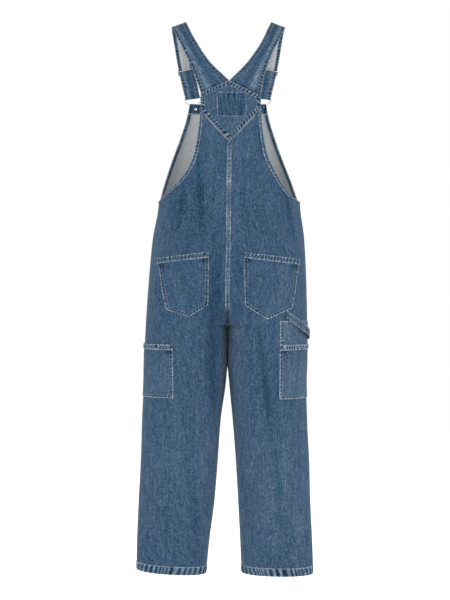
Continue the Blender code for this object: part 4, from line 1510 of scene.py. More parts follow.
    def hem(self, side: Side) -> bpy.types.Object:
        """The roped hem of a leg: a turned edge carried round the leg.

        Its profile goes down the outside, round under the edge and up the inside, and its puckers move the
        outside in and out and the lower edge up and down.

        Args:
            side: The leg.

        Returns:
            The hem's piece.
        """
        height, turn = self.hem_height, 0.0021
        down = np.linspace(height, 0.0, 12)
        bend = np.linspace(0, math.pi, 7)[1:-1]
        up = np.linspace(0.0, height + 0.0005, 8)
        low = np.concatenate([down, -turn * np.sin(bend), up])
        off = np.concatenate([0.0004 + 0 * down, 0.0004 - turn * (1 - np.cos(bend)), 0 * up + 0.0004 - 2 * turn])
        shown = np.concatenate([np.ones(12), np.cos(bend) * 0.5 + 0.5, np.zeros(8)])
        angle = np.linspace(0, 2 * math.pi, self.hem_steps, endpoint=False)[:, None]
        z = self.hem_z[side] + low[None, :] + 0 * angle
        base = BODY.round_leg(angle, z, side)
        around = np.roll(base, -1, axis=0) - np.roll(base, 1, axis=0)
        upward = BODY.round_leg(angle, z + 0.002, side) - base
        normal = facing(np.cross(around, upward), BODY.from_axis(base, side))
        base[..., 2] = self.tilted(base[..., 0], base[..., 2], side)
        closed = np.concatenate([base, base[:1]])
        along = arc(closed[:, :1], 0)[:-1]
        wave = ripple(along + 0.25 * low[None, :], 0.0142, 60 + int(side is Side.LEFT), 1.1)
        bulge = 0.0006 * np.sin(math.pi * np.clip(low / height, 0, 1))[None, :]
        points = base + normal * (off + shown * (bulge + 0.0006 * wave))[..., None]
        points[..., 2] += 0.0005 * wave * shown * fade(1 - low / height)
        made = closed_tube(f"hem_{side.word}", points, FINISH.hem)
        edge = np.minimum(np.abs(height - low), 0.004 + 0 * low)[None, :] + 0 * along
        marks = (("edge", edge), ("pucker", wave * fade((height - low) / 0.003)), ("shade", 0 * edge))
        for label, values in marks:
            set_mark(made.data, label, values)
        return made

    def dress(self) -> dict:
        """Makes the panels, hems and stitches.

        Returns:
            The panels' cloths, by face and side.
        """
        cloths = {}
        for face in Face:
            for side in Side:
                cloth = self.panel(side, face)
                cloths[face, side] = cloth
                made = cloth.sewn(f"{face.word}_{side.word}", FINISH.panel)
                hung = ["yoke_cloth", "centre_seam_cloth"] if face is Face.BACK else ["bib_cloth"]
                extra = [self.hem(side)] if face is Face.BACK else []
                cloth.declared(made, hung, extra)
                log.info("%s %s panel: %d points", side.word, face.word, cloth.points[..., 0].size)
        for side in Side:
            thread = Thread()
            for face in Face:
                lined = cloths[face, side].lined()
                waist = int((lined[:, 0, 2] < BODY.crotch_z).sum())
                side_top = int((lined[:, -1, 2] < BODY.underarm_z).sum())
                thread.rows(lined[self.bare_hem_rows : waist], self.side_rows)
                thread.rows(lined[self.bare_hem_rows : side_top], self.side_rows, last=True)
                if face is Face.FRONT:
                    thread.rows(lined[waist:], self.waist_rows[:1])
                    thread.ends(lined, self.waist_rows)
            thread.row(self.hem_line(side))
            thread.sewn(f"thread_trousers_{side.word}")
        return cloths

    def hem_line(self, side: Side) -> np.ndarray:
        """The line of stitches at the top of a hem.

        Args:
            side: The leg.

        Returns:
            The line's points with their normals.
        """
        angle = np.linspace(0, 2 * math.pi, 500)
        z = self.hem_z[side] + self.hem_height - 0.0012 + 0 * angle
        points = BODY.round_leg(angle, z, side)
        upward = np.array([0.0, 0.0, 1.0])
        normal = facing(np.cross(np.gradient(points, axis=0), upward), BODY.from_axis(points, side))
        points[:, 2] = self.tilted(points[:, 0], points[:, 2], side)
        return np.concatenate([points + normal * 0.0007, normal], axis=-1)


@dataclass
class Yoke:
    """The yoke with its felled edges, and the patch on it."""

    top: tuple = (Corner(-0.0708, -0.1995), Corner(0.0030, -0.1690), Corner(0.0846, -0.2075))
    low: tuple = (Corner(-0.0714, -0.2460), Corner(0.0040, -0.3270), Corner(0.0847, -0.2410))
    patch_top: tuple = (Corner(-0.0293, -0.1990), Corner(0.0475, -0.1990))
    patch_low: tuple = (Corner(-0.0285, -0.2630), Corner(0.0470, -0.2635))
    seam: float = 0.0024
    felled: float = 0.0104

    def dress(self) -> None:
        """Makes the yoke, the patch and their stitches."""
        top = tuple(Corner(corner.x, corner.z - SEAM_GAP) for corner in self.top)
        yoke = Patch(
            "yoke",
            Face.BACK,
            top,
            self.low,
            columns=100,
            rows=74,
            lift=-CLOTH,
            thickness=CLOTH,
            sewn_edges=(0, 1, 2, 3, 4, 5),
            band_width=0.0125,
            pucker_height=0.0007,
            period=0.0098,
            seed=3,
        )
        cloth = yoke.cloth()
        made = cloth.sewn("back_yoke", FINISH.yoke, name="yoke_cloth")
        thread = Thread()
        for distance in (self.seam, self.felled):
            thread.row(yoke.line([distance] * 6, 0, 5))
        patch = Patch(
            "patch",
            Face.BACK,
            self.patch_top,
            self.patch_low,
            columns=44,
            rows=38,
            sewn_edges=(0, 1, 2, 3),
            band_width=0.0050,
            pucker_height=0.0003,
            period=0.0100,
            seed=5,
            strength=0.5,
        )
        patch_cloth = patch.cloth()
        sewn_on = patch_cloth.sewn("yoke_patch", FINISH.dark, POCKET_CLOTH, "denim_dark", name="patch_cloth")
        patch_cloth.declared(sewn_on, ["yoke_cloth"])
        thread.row(patch.line([0.0022] * 4, 0, 3))
        stitches = thread.sewn("thread_yoke")
        cloth.declared(made, ["strap_left_cloth", "strap_right_cloth"], [stitches])
        log.info("yoke and patch: %d stitches", sum(len(part) for part in thread.parts))


@dataclass
class BackSeams:
    """The felled seam down the centre back and the bindings of the armholes."""

    panels: dict
    binding: float = 0.0100
    seam: float = 0.0120
    top_z: float = -0.3310
    low_z: float = -0.7600
    binding_lift: float = 0.0008
    binding_rows: int = 240

    def centre_seam(self, thread: Thread) -> None:
        """Makes the felled seam: an even strip down the centre line.

        Args:
            thread: Where its stitches go.
        """
        z = np.linspace(self.top_z, self.low_z, 300)[:, None]
        t = close_ended(8, 0.10)[None, :]
        x = smooth(FORM, "centre", z) + (t - 0.5) * self.seam
        points = BODY.on(x, z + 0 * x, Face.BACK)
        across = t * self.seam
        edge = np.minimum(across, self.seam - across) + 0 * z
        wave = ripple(-z + 0.3 * across, 0.0085, 9)
        pucker = wave * fade(edge / 0.0012)
        rubbed = 0.12 + 0.11 * drift(-z, 0.047, 12) + 0.08 * drift(-z, 0.011, 13)
        lift = LAYER_GAP + POCKET_CLOTH + relief(edge, pucker)
        cloth = Cloth(points, Face.BACK.out, edge, 0.35 * pucker, rubbed, lift=lift)
        made = cloth.sewn("centre_back_seam", FINISH.felled, POCKET_CLOTH, name="centre_seam_cloth")
        cloth.declared(made, ["yoke_cloth"])
        thread.both(cloth.lined(), (0.0024,))

    def armhole(self, side: Side, thread: Thread) -> None:
        """Makes the binding of one armhole: a strip along the back's cut edge.

        Args:
            side: The armhole's side.
            thread: Where its stitches go.
        """
        panel = self.panels[Face.BACK, side].points
        first = int((panel[:, -1, 2] < BODY.underarm_z - 1e-4).sum())
        strip = strip_at(panel[first:], self.binding, 8, last=True)
        run = arc(strip[:, 0], 0)
        even = np.linspace(0, run[-1], self.binding_rows)
        grid = np.stack([np.interp(even, run, line) for line in strip.reshape(len(strip), -1).T], axis=-1)
        grid = grid.reshape(len(even), -1, 3)
        across = arc(grid, 1)
        edge = np.minimum(across, self.binding - across)
        wave = ripple(arc(grid, 0), 0.0090, 14 + int(side is Side.LEFT))
        pucker = wave * fade(edge / 0.0016)
        lift = self.binding_lift + POCKET_CLOTH + relief(edge, pucker)
        cloth = Cloth(grid, Face.BACK.out, edge, 0.55 * pucker, lift=lift)
        name = f"armhole_{side.word}_cloth"
        made = cloth.sewn(f"armhole_binding_{side.word}", FINISH.band, POCKET_CLOTH, name=name)
        cloth.declared(made, [f"back_{side.word}_cloth"])
        thread.rows(cloth.lined(), (0.0018, 0.0080))

    def dress(self) -> None:
        """Makes the seam, the bindings and their stitches."""
        thread = Thread()
        self.centre_seam(thread)
        for side in Side:
            self.armhole(side, thread)
        thread.sewn("thread_back_seams")
        log.info("centre seam and armhole bindings")


def kept_dye(points: np.ndarray, corners: Sequence[Corner]) -> np.ndarray:
    """Painted shade under the ends of a pocket's band: -0.42 exp(-(distance / 8 mm)^2) round each place.

    Args:
        points: The pocket's points.
        corners: The places.

    Returns:
        The shade at each point.
    """
    shade = np.zeros(points.shape[:2])
    for corner in corners:
        apart = np.hypot(points[..., 0] - corner.x, points[..., 2] - corner.z)
        shade -= 0.42 * np.exp(-((apart / 0.008) ** 2))
    return shade


@dataclass
class BackPocket:
    """A back pocket with its turned top band."""

    side: Side
    top: tuple
    middle: tuple
    low: tuple
    band_height: float = 0.0140

    def dress(self) -> None:
        """Makes the pocket, its band and their stitches."""
        word = self.side.word
        seed = 30 + 5 * int(self.side is Side.LEFT)
        pocket = Patch(
            f"back_pocket_{word}",
            Face.BACK,
            self.top,
            self.low,
            columns=72,
            rows=84,
            sewn_edges=(1, 2, 3, 4, 5, 6),
            middle=self.middle,
            seed=seed,
        )
        thread = Thread()
        for distance in DOUBLE_ROW:
            thread.row(pocket.line([0.0] + [distance] * 6, 1, 6))
        low = tuple(Corner(corner.x, corner.z - self.band_height) for corner in self.top)
        top_band = Patch(
            f"back_pocket_band_{word}",
            Face.BACK,
            self.top,
            low,
            columns=90,
            rows=9,
            lift=2 * LAYER_GAP + POCKET_CLOTH,
            sewn_edges=(0, 2),
            band_width=self.band_height,
            pucker_height=0.0005,
            seed=seed + 2,
            strength=0.8,
        )
        thread.row(top_band.line([0.0, 0.001, 0.0022, 0.001], 2, 2))
        for patch, finish in ((pocket, FINISH.denim), (top_band, FINISH.top_band)):
            cloth = patch.cloth()
            if patch is pocket:
                ends = ((low[0], 0.010), (low[-1], -0.010))
                # Painted shade under both ends of the pocket's band
                cloth.shade += kept_dye(cloth.points, [Corner(end.x + move, end.z - 0.004) for end, move in ends])
            made = cloth.sewn(patch.name, finish, POCKET_CLOTH)
            cloth.declared(made, [f"back_{word}_cloth"])
        thread.sewn(f"thread_back_pocket_{word}")
        log.info("%s back pocket", word)


@dataclass
class LegPocket:
    """A thigh pocket that wraps round the side seam, with its turned top band."""

    side: Side
    top_z: float
    low_z: float
    back_x: float
    tone: float
    width: float = 0.182
    band_height: float = 0.0140
    tool_top_z: float = -0.7880
    tool_width: float = 0.172

    def wrapped(
        self, heights: np.ndarray, lengths: np.ndarray, lift: float, edges: Sequence[str], seed: int
    ) -> Cloth:
        """Cloth that wraps round the leg, puckered along some of its edges.

        Args:
            heights: Heights of its rows, from the top down.
            lengths: Lengths of its columns from the back edge round the leg.
            lift: How far its right side lies over the leg.
            edges: Which edges are sewn: top, low, back and front.
            seed: Which line of puckers it has.

        Returns:
            The cloth.
        """
        points = BODY.leg_grid(self.side, self.back_x, heights, lengths)
        down, round_it = np.broadcast_arrays((heights[0] - heights)[:, None], lengths[None, :])
        far = {"top": down, "low": down[-1] - down, "back": round_it, "front": round_it[:, -1:] - round_it}
        along = {"top": round_it, "low": round_it, "back": down, "front": down}
        apart = np.stack([far[edge] for edge in edges])
        edge = apart.min(axis=0)
        run = np.choose(apart.argmin(axis=0), [along[edge] + 0.31 * k for k, edge in enumerate(edges)])
        pucker = band(edge, 0.0095) * ripple(run + 0.3 * edge, 0.0085, seed)
        z = heights[:, None] + 0 * round_it
        shade = BODY.creased(points[..., 0], z, self.side, Face.BACK)[1] * 0.6 + self.tone
        height = lift + relief(edge, pucker, 0.0004, 0.0005, 0.0010)
        return Cloth(points, BODY.from_axis(points, self.side), edge, pucker, shade, lift=height)

    def dress(self) -> None:
        """Makes the pocket, its band, the tool piece over the right one, and their stitches."""
        word = self.side.word
        seed = 70 + 7 * int(self.side is Side.LEFT)
        thread = Thread()
        raised = LAYER_GAP + POCKET_CLOTH
        lengths = close_ended(84) * self.width
        heights = self.top_z + (self.low_z - self.top_z) * close_ended(66)
        pocket = self.wrapped(heights, lengths, raised, ("back", "low", "front"), seed)
        below = self.top_z - self.band_height
        end = Corner(self.back_x + 0.010 * self.side.value, below - 0.003)
        # Painted shade: darker round the band's back end and just under the band, fading down the pocket
        pocket.shade += kept_dye(pocket.points, [end]) - 0.12 * np.exp((pocket.points[..., 2] - below) / 0.02)
        made = pocket.sewn(f"thigh_pocket_{word}", FINISH.denim, POCKET_CLOTH)
        pocket.declared(made, [f"back_{word}_cloth", f"front_{word}_cloth"])
        lined = pocket.lined()
        thread.both(lined, DOUBLE_ROW)
        thread.ends(lined, DOUBLE_ROW)
        heights = self.top_z - self.band_height * close_ended(8, 0.1)
        lift = raised + LAYER_GAP + POCKET_CLOTH
        top_band = self.wrapped(heights, lengths, lift, ("top", "low"), seed + 2)
        made = top_band.sewn(f"thigh_pocket_band_{word}", FINISH.top_band, POCKET_CLOTH)
        top_band.declared(made, [f"thigh_pocket_{word}_cloth"])
        thread.ends(top_band.lined(), (0.0024,))
        if self.side is Side.RIGHT:
            heights = np.linspace(self.tool_top_z, self.top_z + 2 * SEAM_GAP, 40)
            lengths = close_ended(80) * self.tool_width
            tool = self.wrapped(heights, lengths, raised, ("back", "top", "front"), seed + 4)
            made = tool.sewn("tool_panel_right", FINISH.denim, POCKET_CLOTH)
            tool.declared(made, ["back_right_cloth", "front_right_cloth"])
            lined = tool.lined()
            thread.both(lined, (0.0018, 0.0115))
            thread.ends(lined, (0.0018,), last=False)
        thread.sewn(f"thread_thigh_pocket_{word}")
        log.info("%s thigh pocket", word)


@dataclass
class HammerLoop:
    """The loop that slants round the right leg and stands off it."""

    height: float = 0.0205
    start_angle: float = 0.64 * math.pi
    end_angle: float = 1.03 * math.pi
    start_z: float = -0.7700
    end_z: float = -0.8268
    bow: float = 0.0118
    bow_ease: float = 0.75

    def dress(self) -> None:
        """Makes the loop: a strip, straight from behind, that bows out by the square of a sine."""
        share = np.linspace(0, 1, 110)[:, None]
        t = close_ended(10, 0.08)[None, :]
        angle = self.start_angle + (self.end_angle - self.start_angle) * share
        begin = math.cos(self.start_angle)
        down = (begin - np.cos(angle)) / (begin + 1)
        z = self.start_z + (self.end_z - self.start_z) * down + self.height * (0.5 - t)
        points = BODY.round_leg(angle + 0 * t, z, Side.RIGHT)
        across = t * self.height
        edge = np.minimum(across, self.height - across) + 0 * share
        pucker = band(edge, 0.0065) * ripple(arc(points, 0), 0.0085, 81)
        lift = 2 * LAYER_GAP + POCKET_CLOTH + self.bow * np.sin(math.pi * share**self.bow_ease) ** 2
        lift = lift + CLOTH + relief(edge, pucker, reach=0.0010)
        out = BODY.from_axis(points, Side.RIGHT)
        cloth = Cloth(points, out, edge, 0.6 * pucker, 0.02, lift=lift)
        made = cloth.sewn("hammer_loop", FINISH.band, hem=0.010)
        thread = Thread()
        thread.both(cloth.lined(), (0.0020, 0.0062))
        stitches = thread.sewn("thread_hammer_loop")
        cloth.declared(made, ["back_right_cloth", "tool_panel_right_cloth"], [stitches])
        log.info("hammer loop")


@dataclass
class Bib:
    """The bib with its turned hems inside and its pocket outside."""

    top_z: float = -0.199
    waist_z: float = -0.4800
    bend: float = 0.6
    top_hem: float = 0.0270
    side_hem: float = 0.0100
    hem_lift: float = 0.0008
    pocket_top: tuple = (Corner(-0.1030, -0.2700), Corner(0.1030, -0.2700))
    pocket_low: tuple = (Corner(-0.1040, -0.4150), Corner(0.0000, -0.4350), Corner(0.1040, -0.4150))

    def across(self, t: np.ndarray, z: np.ndarray) -> np.ndarray:
        """x across the bib: t is -1 at its left edge and 1 at its right edge.

        Args:
            t: Places across.
            z: Heights.

        Returns:
            x of each place.
        """
        left, right = -smooth(BIB_EDGE, "left", z), smooth(BIB_EDGE, "right", z)
        bend = np.sin(t * math.pi / 2) * self.bend + t * (1 - self.bend)
        return (left + right) / 2 + (right - left) / 2 * bend

    def grid(self, heights: np.ndarray, columns: int) -> np.ndarray:
        """The bib's points at given heights."""
        t = (close_ended(columns) * 2 - 1)[None, :]
        z = heights[:, None] + 0 * t
        return BODY.on(self.across(t, z), z, Face.FRONT)

    def hem_inside(self, node: str, grid: np.ndarray, lift: float, seed: int, thread: Thread) -> None:
        """A turned hem on the bib's inside, whose right side faces the wearer.

        Args:
            node: The node it stands for.
            grid: Its points on the bib's outside.
            lift: The gap between the bib's inside and the hem.
            seed: Which line of puckers it has.
            thread: Where its stitches go.
        """
        edge = off_edges(grid)
        pucker = ripple(arc(grid, 0), 0.0080, seed) * fade(edge / 0.0016)
        height = CLOTH + lift + POCKET_CLOTH + 0.0003 * pucker
        cloth = Cloth(grid, Face.BACK.out, edge, 0.9 * pucker, -0.05, lift=height)
        made = cloth.sewn(node, FINISH.dark, POCKET_CLOTH, "denim_dark")
        cloth.declared(made, ["bib_cloth"])
        thread.both(cloth.lined(), (0.0018,))

    def dress(self) -> None:
        """Makes the bib, its hems, its pocket and their stitches."""
        heights = np.linspace(self.waist_z, self.top_z, 116)
        bib = self.grid(heights, 96)
        edge = np.minimum(off_edges(bib), (self.top_z - heights)[:, None])
        pucker = band(edge, 0.0100) * ripple(arc(bib, 0), 0.0095, 41)
        shade = BODY.shade(bib[..., 0], bib[..., 2], Face.FRONT)
        cloth = Cloth(bib, Face.FRONT.out, edge, 0.7 * pucker, shade)
        made = cloth.sewn("bib", FINISH.denim)
        thread = Thread()
        lined = cloth.lined()
        thread.both(lined, (0.0020, 0.0090))
        thread.ends(lined, (0.0020, 0.0250))
        thread.ends(lined, (0.0022,), last=False)
        cloth.declared(made, ["buckle_left", "buckle_right"])
        top = self.grid(np.linspace(self.top_z, self.top_z - self.top_hem, 18), 110)
        top = np.swapaxes(top, 0, 1)
        self.hem_inside("bib_top_hem", top, LAYER_GAP, 43, thread)
        end = int((heights < self.top_z - self.top_hem - 0.001).sum())
        for side in Side:
            strip = strip_at(bib[2:end], self.side_hem, 8, last=side is Side.RIGHT)
            seed = 45 + int(side is Side.LEFT)
            self.hem_inside(f"bib_side_hem_{side.word}", strip, self.hem_lift, seed, thread)
        pocket = Patch(
            "bib_pocket",
            Face.FRONT,
            self.pocket_top,
            self.pocket_low,
            columns=84,
            rows=64,
            sewn_edges=(0, 1, 2, 3, 4),
            seed=47,
        )
        pocket_cloth = pocket.cloth()
        made = pocket_cloth.sewn("bib_pocket", FINISH.denim, POCKET_CLOTH)
        pocket_cloth.declared(made, ["bib_cloth"])
        for distance in DOUBLE_ROW:
            thread.row(pocket.line([0.0] + [distance] * 4, 1, 4))
        thread.row(pocket.line([0.0160, 0.0, 0.0, 0.0, 0.0], 0, 0))
        inside = pocket.line([0.0] + [0.0018] * 4, 1, 4)
        inside[:, :3] -= inside[:, 3:] * (LAYER_GAP + POCKET_CLOTH + CLOTH)
        inside[:, 3:] *= -1
        thread.row(inside)
        thread.sewn("thread_bib")
        log.info("bib, its hems and its pocket")


STRAP_BACK = {
    Side.LEFT: (
        StrapRow(-0.0456, -0.1010, -0.1209, -0.0889, -0.0960, -0.1480),
        StrapRow(-0.0815, -0.0830, -0.0658, -0.1127, -0.0790, -0.0917),
        StrapRow(-0.1028, -0.0460, -0.0205, -0.1395, -0.0440, -0.0365),
        StrapRow(-0.1113, 0.0000, 0.0010, -0.1490, 0.0000, -0.0120),
    ),
    Side.RIGHT: (
        StrapRow(0.0492, -0.1010, -0.1209, 0.0943, -0.0960, -0.1518),
        StrapRow(0.0852, -0.0830, -0.0670, 0.1153, -0.0790, -0.0943),
        StrapRow(0.1052, -0.0460, -0.0215, 0.1410, -0.0440, -0.0400),
        StrapRow(0.1140, 0.0000, 0.0010, 0.1510, 0.0000, -0.0130),
    ),
}
STRAP_FRONT = (
    StrapRow(0.1110, 0.0400, -0.0090, 0.1488, 0.0395, -0.0215),
    StrapRow(0.1052, 0.0780, -0.0420, 0.1437, 0.0770, -0.0520),
    StrapRow(0.0990, 0.1010, -0.0800, 0.1389, 0.0995, -0.0835),
    StrapRow(0.0932, 0.1130, -0.1085, 0.1341, 0.1115, -0.1090),
    StrapRow(0.0845, 0.1180, -0.1400, 0.1267, 0.1165, -0.1430),
    StrapRow(0.0770, 0.1200, -0.1775, 0.1168, 0.1180, -0.1838),
)


class StrapFrame(NamedTuple):
    """Centre, direction down, direction across and outward normal of a strap's front."""

    centre: np.ndarray
    down: np.ndarray
    across: np.ndarray
    normal: np.ndarray


@dataclass
class Strap:
    """A strap from the yoke over the shoulder to the buckle, where it folds and comes back up inside."""

    side: Side
    yoke: Yoke
    fold_radius: float = 0.0030
    return_length: float = 0.0763
    rows: int = 240
    coarse_rows: int = 30
    bare_rows: tuple = (60, 236)
    hem: float = 0.0090

    def edges(self, rows: int) -> tuple[np.ndarray, np.ndarray]:
        """The strap's two edges from the yoke to the fold at the buckle.

        Args:
            rows: How many even steps they have.

        Returns:
            The inner and the outer edge.
        """
        sign = self.side.value
        corner = self.yoke.top[0] if self.side is Side.LEFT else self.yoke.top[2]
        neck = self.yoke.top[1]
        inside = np.array([0, CLOTH / 2, SEAM_GAP])
        root_in = BODY.on(neck.x + sign * SEAM_GAP, neck.z, Face.BACK) + inside
        root_out = BODY.on(corner.x, corner.z, Face.BACK) + inside
        front = np.array(STRAP_FRONT) * [sign, 1, 1, sign, 1, 1]
        given = np.concatenate([[[*root_in, *root_out]], STRAP_BACK[self.side], front])
        return through(given[:, :3], rows), through(given[:, 3:], rows)

    def frame(self, distance: float) -> StrapFrame:
        """The strap's frame a distance above its fold.

        Args:
            distance: Length up the front of the strap.

        Returns:
            The frame there.
        """
        inner, outer = self.edges(self.coarse_rows)
        middle = (inner + outer) / 2
        along = arc(middle[::-1], 0)
        ends = [np.array([np.interp(distance, along, e[::-1, k]) for k in range(3)]) for e in (inner, outer)]
        above = np.array([np.interp(distance + 0.01, along, middle[::-1, k]) for k in range(3)])
        centre = (ends[0] + ends[1]) / 2
        across = unit(ends[1] - ends[0])
        down = centre - above
        down = unit(down - across * np.dot(down, across))
        normal = np.cross(across, down)
        return StrapFrame(centre, down, across, normal * np.sign(normal[1]))

    def half_width(self) -> float:
        """Half the strap's width at its fold."""
        inner, outer = self.edges(self.coarse_rows)
        return float(np.linalg.norm(outer[-1] - inner[-1]) / 2)

    def middle_surface(self) -> np.ndarray:
        """The strap's middle surface: rows from the yoke to the end of the return, columns from inner to outer.

        The fold is a half circle, and the return runs a fold's width inside the front.

        Returns:
            The grid.
        """
        inner, outer = self.edges(self.rows)
        last = self.frame(0.0)
        turn = np.linspace(0, math.pi, 17)[1:, None]
        curl = last.down * self.fold_radius * np.sin(turn)
        curl = curl - last.normal * self.fold_radius * (1 - np.cos(turn))
        half = self.half_width()
        back_in, back_out = [], []
        for distance in np.linspace(0, self.return_length, 41)[1:]:
            here = self.frame(distance)
            centre = here.centre - here.normal * 2 * self.fold_radius
            back_in.append(centre - here.across * half)
            back_out.append(centre + here.across * half)
        inner = np.concatenate([inner, inner[-1] + curl, back_in])
        outer = np.concatenate([outer, outer[-1] + curl, back_out])
        share = close_ended(26, 0.05)[None, :, None]
        return inner[:, None] * (1 - share) + outer[:, None] * share

    def dress(self) -> None:
        """Makes the strap and its stitches."""
        word = self.side.word
        points = self.middle_surface()
        out = np.zeros_like(points)
        out[0] = Face.BACK.out
        across = arc(points, 1)
        width = across[:, -1:]
        edge = np.minimum(across, width - across)
        along = arc(points, 0)
        seed = 90 + 3 * int(self.side is Side.LEFT)
        near_outer = across > width / 2
        wave = np.where(near_outer, ripple(along, 0.0080, seed), ripple(along, 0.0080, seed + 1))
        pucker = band(edge, 0.0105) * wave
        rubbed = 0.30 * np.exp(-(((width - across) / width - 0.30) / 0.13) ** 2)
        rubbed = rubbed + 0.12 * np.exp(-(((across / width) - 0.25) / 0.05) ** 2)
        # Painted shadow: darker across the strap's root, where it goes under the yoke
        rubbed = rubbed - 0.30 * np.exp(-((along / 0.004) ** 2))
        lift = STRAP_CLOTH / 2 + 0.0003 * pucker
        cloth = Cloth(points, out, edge, 0.9 * pucker, rubbed - 0.06, lift=lift)
        made = cloth.sewn(f"strap_{word}", FINISH.band, STRAP_CLOTH, hem=self.hem)
        thread = Thread()
        thread.both(cloth.lined(), (0.0020, 0.0088))
        under = np.concatenate([cloth.surface(-STRAP_CLOTH), -cloth.normals], axis=-1)
        thread.both(under[slice(*self.bare_rows)], (0.0088,))
        stitches = thread.sewn(f"thread_strap_{word}")
        cloth.declared(made, [f"buckle_{word}"], [stitches])
        log.info("%s strap", word)


@dataclass
class Adjuster:
    """The adjuster's ring: a plate in front of the strap's two layers and a narrow bar behind them."""

    strap: Strap
    top: float = 0.0805
    plate: float = 0.0160
    bar: float = 0.0030
    wall: float = 0.0012
    room: float = 0.0006
    side_room: float = 0.0018
    corner_power: float = 8.0

    def dress(self) -> None:
        """Makes the ring: a superellipse carried round the layers, whose wall has rounded edges."""
        here = self.strap.frame(self.top)
        half = self.strap.half_width() + self.side_room
        deep = self.strap.fold_radius + STRAP_CLOTH / 2 + self.room
        centre = here.centre - here.normal * self.strap.fold_radius
        angle = np.linspace(0, 2 * math.pi, 96, endpoint=False)
        power = 2 / self.corner_power
        wide, high = signed_power(np.cos(angle), power), signed_power(np.sin(angle), power)
        share = fade((high + 0.75) / 1.5)
        tall = self.bar + (self.plate - self.bar) * share
        corner = np.linspace(0, 2 * math.pi, 16, endpoint=False)
        wall = (1 + signed_power(np.cos(corner), 0.5))[None, :] * self.wall / 2
        along = 0.5 + signed_power(np.sin(corner), 0.35)[None, :] / 2
        spread = np.where(np.abs(wide) > 0.9, wide, np.cos(angle))[:, None] * wall + wide[:, None] * half
        points = centre + here.across * spread[..., None]
        points = points + here.normal * (high[:, None] * (deep + wall))[..., None]
        points = points + here.down * (tall[:, None] * along)[..., None]
        node = f"adjuster_{self.strap.side.word}"
        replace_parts(closed_tube(f"{node}_steel", points, FINISH.steel), node)
        log.info("%s", node)


@dataclass
class Button:
    """A metal button: a turned cap with a rolled rim on a shank."""

    name: str
    x: float
    z: float
    radius: float = 0.0085
    height: float = 0.0099
    shank: float = 0.0030
    tack_radius: float = 0.0045
    steps: int = 40

    def stand(self) -> tuple[np.ndarray, np.ndarray]:
        """Place and outward direction of the button on the front."""
        steps = np.array([-1, 0, 1]) * 0.002
        grid_x, grid_z = np.meshgrid(self.x + steps, self.z - steps)
        points = BODY.on(grid_x, grid_z, Face.FRONT)
        return points[1, 1], grid_normals(points, Face.FRONT.out)[1, 1]

    def turned(self, name: str, profile: np.ndarray, place: np.ndarray, out: np.ndarray) -> bpy.types.Object:
        """Makes a turned piece: a profile of radii and heights carried round its axis, with a point at each pole.

        Args:
            name: The piece's name.
            profile: Radii and heights from the top pole to the low pole.
            place: The axis's foot.
            out: The axis's direction.

        Returns:
            The piece.
        """
        side = unit(np.cross(out, [0.0, 0.0, 1.0]))
        angle = np.linspace(0, 2 * math.pi, self.steps, endpoint=False)[None, :, None]
        ring = side * np.cos(angle) + np.cross(side, out) * np.sin(angle)
        inner = profile[1:-1, :, None, None]
        body = place + ring * inner[:, 0] + out * inner[:, 1]
        poles = place + out * profile[[0, -1], 1][:, None]
        points = np.concatenate([body.reshape(-1, 3), poles])
        number = np.arange(body[..., 0].size).reshape(body.shape[:2])
        wrapped = np.pad(number, ((0, 0), (0, 1)), mode="wrap")
        first, last = wrapped[0], wrapped[-1]
        rims = ((len(points) - 2, first[1:], first[:-1]), (len(points) - 1, last[:-1], last[1:]))
        fans = np.concatenate([np.stack([0 * one + pole, one, two], axis=-1) for pole, one, two in rims])
        turned = []
        for faces in (quads(wrapped), fans):
            a, b, c = (points[faces[:, k]] for k in range(3))
            inwards = (np.cross(b - a, c - a) * (a - body.mean(axis=(0, 1)))).sum() < 0
            turned += (faces[:, ::-1] if inwards else faces).tolist()
        return piece(name, points, turned, (FINISH.steel,))

    def dress(self, with_tack: bool = False) -> None:
        """Makes the button, and the tack on the cloth's inside if it shows.

        Args:
            with_tack: Whether the tack is made.
        """
        place, out = self.stand()
        radius, height = self.radius, self.height
        profile = np.array(
            [
                (0.0, height - 0.0006),
                (radius * 0.35, height - 0.0006),
                (radius * 0.62, height - 0.0007),
                (radius * 0.70, height - 0.0009),
                (radius * 0.76, height - 0.0003),
                (radius * 0.86, height),
                (radius * 0.95, height - 0.0004),
                (radius, height - 0.0012),
                (radius, height - 0.0024),
                (radius * 0.95, height - 0.0030),
                (self.shank * 1.25, height - 0.0032),
                (self.shank, height - 0.0042),
                (self.shank, 0.0012),
                (self.shank * 1.5, 0.0),
                (0.0, 0.0),
            ]
        )
        made = self.turned(f"{self.name}_steel", profile, place + out * LAYER_GAP, out)
        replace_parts(made, self.name)
        if with_tack:
            tack = self.tack_radius
            share = np.linspace(0, 1, 7)
            dome = np.stack([tack * share, 0.0019 * np.sqrt(1 - share**2) + 0.0006], axis=-1)
            profile = np.concatenate([dome, [(tack, 0.0), (0.0, 0.0)]])
            behind = place - out * (CLOTH + LAYER_GAP + POCKET_CLOTH)
            self.turned(f"{self.name}_tack", profile, behind, -out)
        log.info("%s", self.name)


